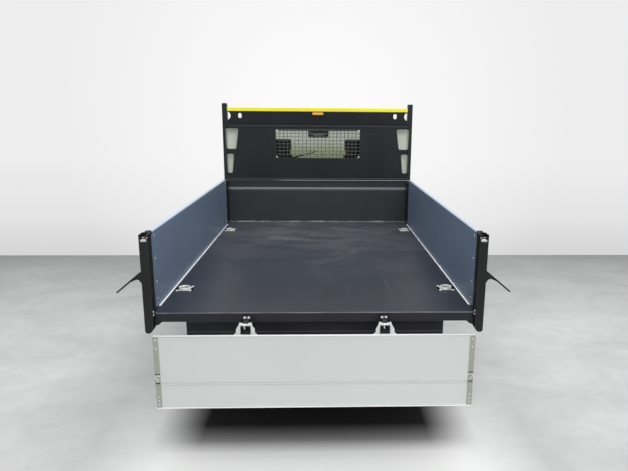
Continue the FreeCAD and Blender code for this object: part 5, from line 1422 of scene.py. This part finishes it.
def cab_inner_trim():
    """Vents, pedals, levers, visors and the inside mirror."""
    piece = Piece("cab_controls")
    for x in (-0.78, -0.10, 0.10, 0.78):
        piece.block((x - 0.055, 1.762, 1.118), (x + 0.055, 1.772, 1.182), black_plastic, 0.004)
        for i in range(5):
            z = 1.128 + i * 0.011
            piece.block((x - 0.048, 1.758, z), (x + 0.048, 1.766, z + 0.004), black_plastic, 0.001)
    wheel_x = centre("steering_wheel").x
    for x, half in ((wheel_x - 0.11, 0.03), (wheel_x, 0.03), (wheel_x + 0.11, 0.022)):
        piece.block((x - half, 1.655, 0.850), (x + half, 1.667, 0.915), rubber, 0.004)
        piece.tube([(x, 1.665, 0.885), (x, 1.715, 0.96), (x, 1.775, 1.02)], 0.007, black_paint)
    gear_foot, gear_knob = (0.0, 1.30, 0.780), (-0.01, 1.27, 1.025)
    piece.turned([(0, 0.05), (0.02, 0.046), (0.05, 0.022), (0.08, 0.014), (0.08, 0)], gear_foot,
                 Z, rubber)
    piece.tube([(0.0, 1.30, 0.84), (0.0, 1.285, 0.95), (-0.01, 1.27, 1.03)], 0.006, chrome)
    piece.turned([(0, 0), (0.002, 0.012), (0.02, 0.021), (0.036, 0.021), (0.044, 0.012),
                  (0.046, 0)], gear_knob, Z, black_plastic)
    hand_brake = [(0.07, 0.86, 0.80), (0.07, 0.97, 0.86), (0.07, 1.10, 0.93)]
    piece.tube(hand_brake, 0.011, black_plastic)
    for sign in (-1, 1):
        x = sign * SEAT_X
        piece.block((x - 0.18, 1.50, 1.738), (x + 0.18, 1.64, 1.752), cab_inside, 0.006, 3)
    y = low("inside_mirror").y
    piece.block((-0.118, y + 0.004, 1.630), (0.118, y + 0.040, 1.694), black_plastic, 0.010, 3)
    piece.block((-0.111, y + 0.002, 1.637), (0.111, y + 0.006, 1.688), mirror_glass, 0.0015)
    piece.finished("chassis")


def door_trim(side, sign):
    """Rub strip, lock, mirror glass and inner card of one door."""
    piece = Piece(f"door_trim_{side}")
    skin, card, inward = sign * 0.925, sign * 0.880, -X * sign
    piece.block((skin - sign * 0.002, 0.965, 0.838), (skin + sign * 0.007, 1.900, 0.870),
                black_plastic, 0.0025)
    piece.turned([(0, 0), (0, 0.011), (0.003, 0.010), (0.004, 0)], (skin, 1.106, 1.168),
                 X * sign, chrome, 20)
    piece.block((skin + sign * 0.003, 1.1055, 1.163), (skin + sign * 0.0045, 1.1065, 1.173),
                black_plastic)
    piece.block((sign * 0.979, 1.868, 1.314), (sign * 1.101, 1.872, 1.526), mirror_glass, 0.0015)
    piece.block((card - sign * 0.010, 0.985, 0.810), (card + sign * 0.002, 1.900, 1.205),
                black_plastic, 0.004)
    piece.block((card - sign * 0.065, 1.120, 0.985), (card, 1.600, 1.025), black_plastic, 0.012, 3)
    knob = Vector((card - sign * 0.010, 1.50, 0.900))
    piece.turned([(0, 0), (0, 0.020), (0.014, 0.016), (0.014, 0)], knob, inward, black_plastic)
    piece.tube([knob + inward * 0.012, knob + Vector((-sign * 0.016, -0.075, -0.03))], 0.006,
               black_plastic)
    piece.finished(f"door_{side}")


RAIL_BOLTS, RAIL_BOLT_STEP = 24, 0.165
TANK_OUT, TANK_IN = -0.7225, -0.415             # the tank straps, across the truck
TANK_LOW, TANK_HIGH = 0.3275, 0.5925


def chassis_trim():
    """Rail bolts, mud flaps, fuel cap, tank straps, rear plate and reflectors."""
    bolts = Piece("rail_bolts")
    rear, rail = low("chassis_rails").y, high("chassis_rails")
    for sign in (-1, 1):
        for i in range(RAIL_BOLTS):
            for drop in (0.030, 0.090):
                place = (sign * rail.x, rear + 0.06 + i * RAIL_BOLT_STEP, rail.z - drop)
                bolts.hex_head(place, X * sign, 0.008, zinc_plate)
    bolts.finished("chassis")
    flaps = Piece("mud_flaps")
    guard = low("rear_mudguards").y
    for sign in (-1, 1):
        flaps.block((sign * 0.640, guard - 0.009, 0.140), (sign * 0.855, guard - 0.003, 0.445),
                    rubber, 0.002)
        flaps.block((sign * 0.645, guard - 0.014, 0.425), (sign * 0.850, guard - 0.009, 0.450),
                    zinc_plate, 0.001)
        flaps.block((sign * 0.665, 0.872, 0.150), (sign * 0.860, 0.878, 0.500), rubber, 0.002)
    flaps.finished("chassis")
    tank = Piece("tank_fittings")
    bottom, top = low("fuel_tank"), high("fuel_tank")
    tank.turned([(0, 0.030), (0.014, 0.028), (0.014, 0.040), (0.034, 0.038), (0.038, 0.030),
                 (0.038, 0)], (-0.640, top.y - 0.09, 0.588), Z, black_plastic)
    for y in (bottom.y + 0.12, top.y - 0.17):
        near, far = y - 0.016, y + 0.016
        tank.block((TANK_OUT, near, TANK_LOW), (TANK_OUT + 0.004, far, TANK_HIGH), zinc_plate,
                   0.001)
        for z in (TANK_HIGH - 0.003, TANK_LOW):
            tank.block((TANK_OUT, near, z), (TANK_IN, far, z + 0.003), zinc_plate, 0.001)
    tank.finished("chassis")
    plate = Piece("rear_plate")
    y = low("underrun_bar").y
    plate.block((-0.268, y - 0.004, 0.380), (0.268, y + 0.002, 0.500), black_plastic, 0.002)
    plate.block((-0.260, y - 0.007, 0.386), (0.260, y - 0.002, 0.494), bright_strip, 0.002)
    for sign in (-1, 1):
        plate.turned([(0, 0), (0, 0.030), (0.006, 0.028), (0.007, 0)], (sign * 0.40, y, 0.440),
                     -Y, red_lens)
    plate.finished("chassis")


PIPING = ((-0.235, 0.72), (-0.235, 1.12), (-0.19, 1.178), (0.19, 1.178), (0.235, 1.12),
          (0.235, 0.72))            # round the cushion's foot, from the seat's middle


def seat_base(side, sign):
    """Frame, slides, headrest stalks, recliner and belt buckle of one seat."""
    base = Piece(f"seat_base_{side}")
    x, buckle = sign * SEAT_X, sign * SEAT_X - sign * 0.236
    base.block((x - 0.188, 0.722, 0.782), (x + 0.188, 1.148, 0.868), black_plastic, 0.012, 3)
    for slide in (x - 0.12, x + 0.12):
        base.block((slide - 0.016, 0.73, 0.868), (slide + 0.016, 1.14, 0.884), zinc_plate, 0.003)
    base.block((x - 0.105, 0.664, 1.500), (x + 0.105, 0.696, 1.560), black_plastic, 0.008, 3)
    for stalk in (x - 0.06, x + 0.06):
        base.rod((stalk, 0.680, 1.50), (stalk, 0.678, 1.60), 0.007, chrome)
    hinge = Vector((x - sign * 0.222, 0.74, 0.965))
    base.turned([(0, 0), (0, 0.034), (0.012, 0.030), (0.014, 0)], hinge, -X * sign, black_plastic)
    base.block(hinge + Vector((-0.006, 0.0, -0.012)), hinge + Vector((0.006, 0.13, 0.012)),
               black_plastic, 0.004)
    base.block((buckle - 0.011, 0.80, 0.94), (buckle + 0.011, 0.83, 1.03), black_plastic, 0.004)
    base.block((buckle - 0.009, 0.803, 1.03), (buckle + 0.009, 0.827, 1.036), red_lens, 0.002)
    base.finished("chassis")


def seat_parts():
    """Cloth cushion, tapered high back and headrest of each seat, on its base."""
    cushion = soft_block((-0.222, 0.708, 0.886), (0.222, 1.162, 0.972), cushion_shape)
    back = soft_block((-0.218, 0.690, 1.005), (0.218, 0.752, 1.520), back_shape)
    head = soft_block((-0.118, 0.652, 1.536), (0.118, 0.702, 1.655), lambda p: p)
    forms = {
        "seat_cushion": stuffed(cushion, cushion_channels),
        "seat_back": stuffed(back, back_channels),
        "seat_headrest": stuffed(
            head, lambda p, n: channel(p.z - 1.597, 0.004) if n.y > 0.5 else 0.0),
    }
    for side, sign in SIDES:
        for name, form in forms.items():
            piece = Piece(f"{name}_{side}")
            piece.take(form.copy(), seat_cloth, Matrix.Translation((sign * SEAT_X, 0, 0)))
            if name == "seat_cushion":
                edge = [Vector((sign * SEAT_X + x, y, 0.905)) for x, y in PIPING]
                piece.tube(edge, 0.004, rubber, 8)
            thing = piece.finished("chassis", 60)
            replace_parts(thing, "seats")
        seat_base(side, sign)
    for form in forms.values():
        form.free()


# ---------------------------------------------------------------- studio

BACKDROP_HEIGHT = 9
SHEET_REACH = 30                    # half the width of floor and backdrop
# The backdrop's painted pool of light is brightest at this height.
HOT_SPOT = 1.9                      # height of the backdrop's brightest place
# The floor's shade under the truck is a painted shadow.
SHADE_REAR = (-2.115, -1.99, -1.82) # along Y: where the still shade starts, deepens and is full
SHADE_SIDES = (0.68, 0.98)          # from the middle plane: full shade, and none
# The floor's pale patch behind the tailgate is painted light.
PALE_REAR = (-3.0, -2.25, -1.7, -1.1)   # along Y: the floor's pale patch rises and falls


def make_camera():
    """Camera behind the truck, looking down into its bed."""
    s = studio()
    pitch, yaw, roll = s.camera_turn
    data = bpy.data.cameras.new("camera")
    data.sensor_width, data.lens, data.shift_x = 36, s.lens, s.lens_shift
    data.clip_start, data.clip_end = 0.05, 100
    camera = placed(bpy.data.objects.new("camera", data))
    camera.location = s.camera_place
    turn = (Matrix.Rotation(yaw, 4, "Z") @ Matrix.Rotation(math.pi / 2 - pitch, 4, "X")
            @ Matrix.Rotation(roll, 4, "Z"))
    camera.rotation_euler = turn.to_euler()
    bpy.context.scene.camera = camera


def sheet(name, corners, material):
    """Four-cornered sheet that belongs to the studio."""
    mesh = bpy.data.meshes.new(name)
    mesh.from_pydata(corners, [], [(0, 1, 2, 3)])
    mesh.materials.append(material)
    thing = placed(bpy.data.objects.new(name, mesh))


def concrete(wall):
    """Pale clouded floor with painted shade near the backdrop, a painted shadow under the truck,
    and a paler patch of painted light behind its tail.
    """
    s = studio()
    f = Finish("concrete", s.floor_tone, 0.85, Specular_IOR_Level=0.15)
    along, across = f.along("Y"), f.away("X")
    clouds = f.ramp(f.noise(1.3, 8, (1, 1.6, 1), 0.6), 0.30, 0.70)
    dark, light = (tuple(min(1, c * share) for c in f.colour) for share in (0.86, 1.06))
    body = f.mix(clouds, dark, light)
    fine = f.ramp(f.noise(9, 8, (1, 1.3, 1)), 0.35, 0.65, 0.0, 0.16)
    body = f.mix(fine, body, paint_chip(160, 160, 160))
    pits = f.ramp(f.noise(34, 5), 0.70, 0.76, 0.0, 0.45)
    body = f.mix(pits, body, paint_chip(140, 140, 140))
    # Painted shade on the floor along the foot of the backdrop.
    wall_shade = f.times(f.ramp(along, wall - 2.6, wall), f.ramp(along, wall, wall + 1.5, 1.0, 0.0))
    body = f.mix(f.times(wall_shade, 0.62), body, paint_chip(132, 132, 132))
    # Painted light: a paler patch on the floor behind the tailgate.
    painted_light = f.times(f.ramp(along, *PALE_REAR[:2]), f.ramp(along, *PALE_REAR[2:], 1.0, 0.0),
                   f.ramp(across, 0.85, 1.3, 1.0, 0.0), 0.85)
    body = f.mix(painted_light, body, paint_chip(254, 254, 254))
    # Painted shadow under the truck, deepening forward from under the tailgate.
    start = f.plus(f.ramp(along, *SHADE_REAR[:2], 0.0, 0.72),
                   f.ramp(along, *SHADE_REAR[1:], 0.0, 0.28))
    shade = f.times(f.ramp(across, *SHADE_SIDES, 1.0, 0.0), start,
                    f.ramp(along, BUMPER_FRONT - 0.35, BUMPER_FRONT, 1.0, 0.0), s.shade)
    f.tint(f.mix(shade, body, paint_chip(24, 24, 25)))
    f.grain(40, 0.12, 0.002, 6)
    return f.material


def seen(f):
    """1 for rays that show the backdrop: straight, mirrored or through glass."""
    rays = f.add("ShaderNodeLightPath").outputs
    return f.plus(*(rays[f"Is {kind} Ray"] for kind in ("Camera", "Glossy", "Transmission")))


def backdrop():
    """White wall that glows only where it is seen, and isn't there from behind; its tone holds a
    painted pool of light round a hot spot and painted shade at its foot.
    """
    s = studio()
    f = Finish("backdrop", s.wall_high, 1.0, Specular_IOR_Level=0.0)
    height = f.along("Z")
    # Painted shade: darker towards the foot, where the wall meets the floor.
    tone = f.mix(f.ramp(height, 0.05, 0.5), s.wall_low, paint_chip(226, 226, 226))
    tone = f.mix(f.ramp(height, 0.4, 1.3), tone, s.wall_high)
    # Painted pool of light round the hot spot.
    distance = f.add("ShaderNodeVectorMath", operation="DISTANCE")
    f.feed(distance.inputs[0], f.place)
    distance.inputs[1].default_value = (0, BUMPER_FRONT + s.wall_gap, HOT_SPOT)
    hot_spot_light = f.ramp(distance.outputs["Value"], 0.6, 3.4, 0.85, 0.0)
    tone = f.mix(hot_spot_light, tone, paint_chip(253, 253, 253))
    f.tint(tone)
    glow = f.add("ShaderNodeEmission")
    f.feed(glow.inputs["Color"], tone)
    shown = f.blend(seen(f), f.shader.outputs["BSDF"], glow.outputs["Emission"])
    behind = f.add("ShaderNodeNewGeometry").outputs["Backfacing"]
    f.show(f.blend(behind, shown, f.add("ShaderNodeBsdfTransparent").outputs["BSDF"]))
    return f.material


def area_lamp(name, place, target, size, power):
    data = bpy.data.lights.new(name, "AREA")
    data.shape, data.size, data.energy = "DISK", size, power
    lamp = placed(bpy.data.objects.new(name, data))
    lamp.location = place
    lamp.rotation_euler = (Vector(target) - Vector(place)).to_track_quat("-Z", "Y").to_euler()


def make_sky(strength):
    """Soft light from all round, white where the camera sees it."""
    world = bpy.data.worlds.new("studio")
    world.use_nodes = True
    tree = world.node_tree
    path, mix = tree.nodes.new("ShaderNodeLightPath"), tree.nodes.new("ShaderNodeMix")
    mix.data_type = "FLOAT"
    for socket, value in zip(MIX_FLOATS, (strength, 1.0)):
        mix.inputs[socket].default_value = value
    tree.links.new(path.outputs["Is Camera Ray"], mix.inputs["Factor"])
    back = tree.nodes["Background"]
    back.inputs["Color"].default_value = (0.98, 0.99, 1.0, 1)
    tree.links.new(mix.outputs["Result"], back.inputs["Strength"])
    bpy.context.scene.world = world


def make_stage():
    """Floor, backdrop, two lamps and soft light."""
    s = studio()
    wall, reach = BUMPER_FRONT + s.wall_gap, SHEET_REACH
    sheet("floor", [(-reach, -reach, 0), (reach, -reach, 0), (reach, reach, 0),
                    (-reach, reach, 0)], concrete(wall))
    sheet("backdrop", [(-reach, wall, 0), (reach, wall, 0), (reach, wall, BACKDROP_HEIGHT),
                       (-reach, wall, BACKDROP_HEIGHT)], backdrop())
    area_lamp("key", (0.8, -7.5, 5.6), (0, -1, 0.9), 5.0, s.key)
    area_lamp("top", (0.5, -0.5, 7.0), (0, 0, 0), 7.0, s.top)
    make_sky(s.sky)
    bpy.context.scene.view_settings.view_transform = "Standard"


# ---------------------------------------------------------------- operators

class TIPPER_OT_camera(bpy.types.Operator):
    """Place the camera behind the truck"""

    bl_idname = "tipper.camera"
    bl_label = "Camera"

    def execute(self, context):
        make_camera()
        return {"FINISHED"}


class TIPPER_OT_stage(bpy.types.Operator):
    """Lay the floor, hang the backdrop and set the lamps"""

    bl_idname = "tipper.stage"
    bl_label = "Stage"

    def execute(self, context):
        make_stage()
        return {"FINISHED"}


class TIPPER_OT_finishes(bpy.types.Operator):
    """Give every part of the frame its finish"""

    bl_idname = "tipper.finishes"
    bl_label = "Frame finishes"

    def execute(self, context):
        paint_frame()
        return {"FINISHED"}


class TIPPER_OT_wheels(bpy.types.Operator):
    """Fit treaded tyres, wheel nuts and valves"""

    bl_idname = "tipper.wheels"
    bl_label = "Tyres and wheel nuts"

    def execute(self, context):
        for end in ("front", "rear"):
            for side, sign in SIDES:
                tyre(end, side)
                wheel_trim(end, side, sign)
        return {"FINISHED"}


class TIPPER_OT_bed(bpy.types.Operator):
    """Fit rails, rivets, hinge straps, catches, ring plates, wire mesh and marker lamp"""

    bl_idname = "tipper.bed"
    bl_label = "Bed fittings"

    def execute(self, context):
        for side, sign in SIDES:
            board_fittings(side, sign)
        gate_fittings()
        hinge_bolts()
        post_fittings()
        ring_fittings()
        marker_lamp()
        wire_mesh()
        mesh_clips()
        return {"FINISHED"}


class TIPPER_OT_seats(bpy.types.Operator):
    """Stuff and sew the seats"""

    bl_idname = "tipper.seats"
    bl_label = "Seats"

    def execute(self, context):
        seat_parts()
        return {"FINISHED"}


class TIPPER_OT_chassis(bpy.types.Operator):
    """Fit bolts, mud flaps, tank straps and the rear plate"""

    bl_idname = "tipper.chassis"
    bl_label = "Chassis fittings"

    def execute(self, context):
        chassis_trim()
        return {"FINISHED"}


class TIPPER_OT_cab(bpy.types.Operator):
    """Fit seals, wipers, lamps, mirrors, instruments and door trim to the cab"""

    bl_idname = "tipper.cab"
    bl_label = "Cab fittings"

    def execute(self, context):
        glass_seals()
        wipers()
        front_trim()
        instruments()
        cab_inner_trim()
        for side, sign in SIDES:
            door_trim(side, sign)
        return {"FINISHED"}


class TIPPER_PT_panel(bpy.types.Panel):
    """Lists the truck's parts in the order they are made"""

    bl_label = "Tipper truck"
    bl_idname = "TIPPER_PT_panel"
    bl_space_type = "VIEW_3D"
    bl_region_type = "UI"
    bl_category = "Tipper"

    def draw(self, context):
        for operator in OPERATORS:
            self.layout.operator(operator.bl_idname)
        for group in (colours(), sizes(), studio()):
            box = self.layout.box()
            for name in group.__annotations__:
                box.prop(group, name)


GROUPS = {"tipper_colours": TipperColours, "tipper_sizes": TipperSizes,
          "tipper_studio": TipperStudio}
OPERATORS = (TIPPER_OT_camera, TIPPER_OT_stage, TIPPER_OT_finishes, TIPPER_OT_wheels,
             TIPPER_OT_bed, TIPPER_OT_seats, TIPPER_OT_cab, TIPPER_OT_chassis)


def register():
    for kind in (*GROUPS.values(), *OPERATORS, TIPPER_PT_panel):
        bpy.utils.register_class(kind)
    for name, group in GROUPS.items():
        setattr(bpy.types.Scene, name, bpy.props.PointerProperty(type=group))


def unregister():
    for name in GROUPS:
        delattr(bpy.types.Scene, name)
    for kind in (TIPPER_PT_panel, *reversed(OPERATORS), *reversed(GROUPS.values())):
        bpy.utils.unregister_class(kind)


def main():
    register()
    for operator in OPERATORS:
        group, name = operator.bl_idname.split(".")
        getattr(getattr(bpy.ops, group), name)()


if __name__ == "__main__":
    main()
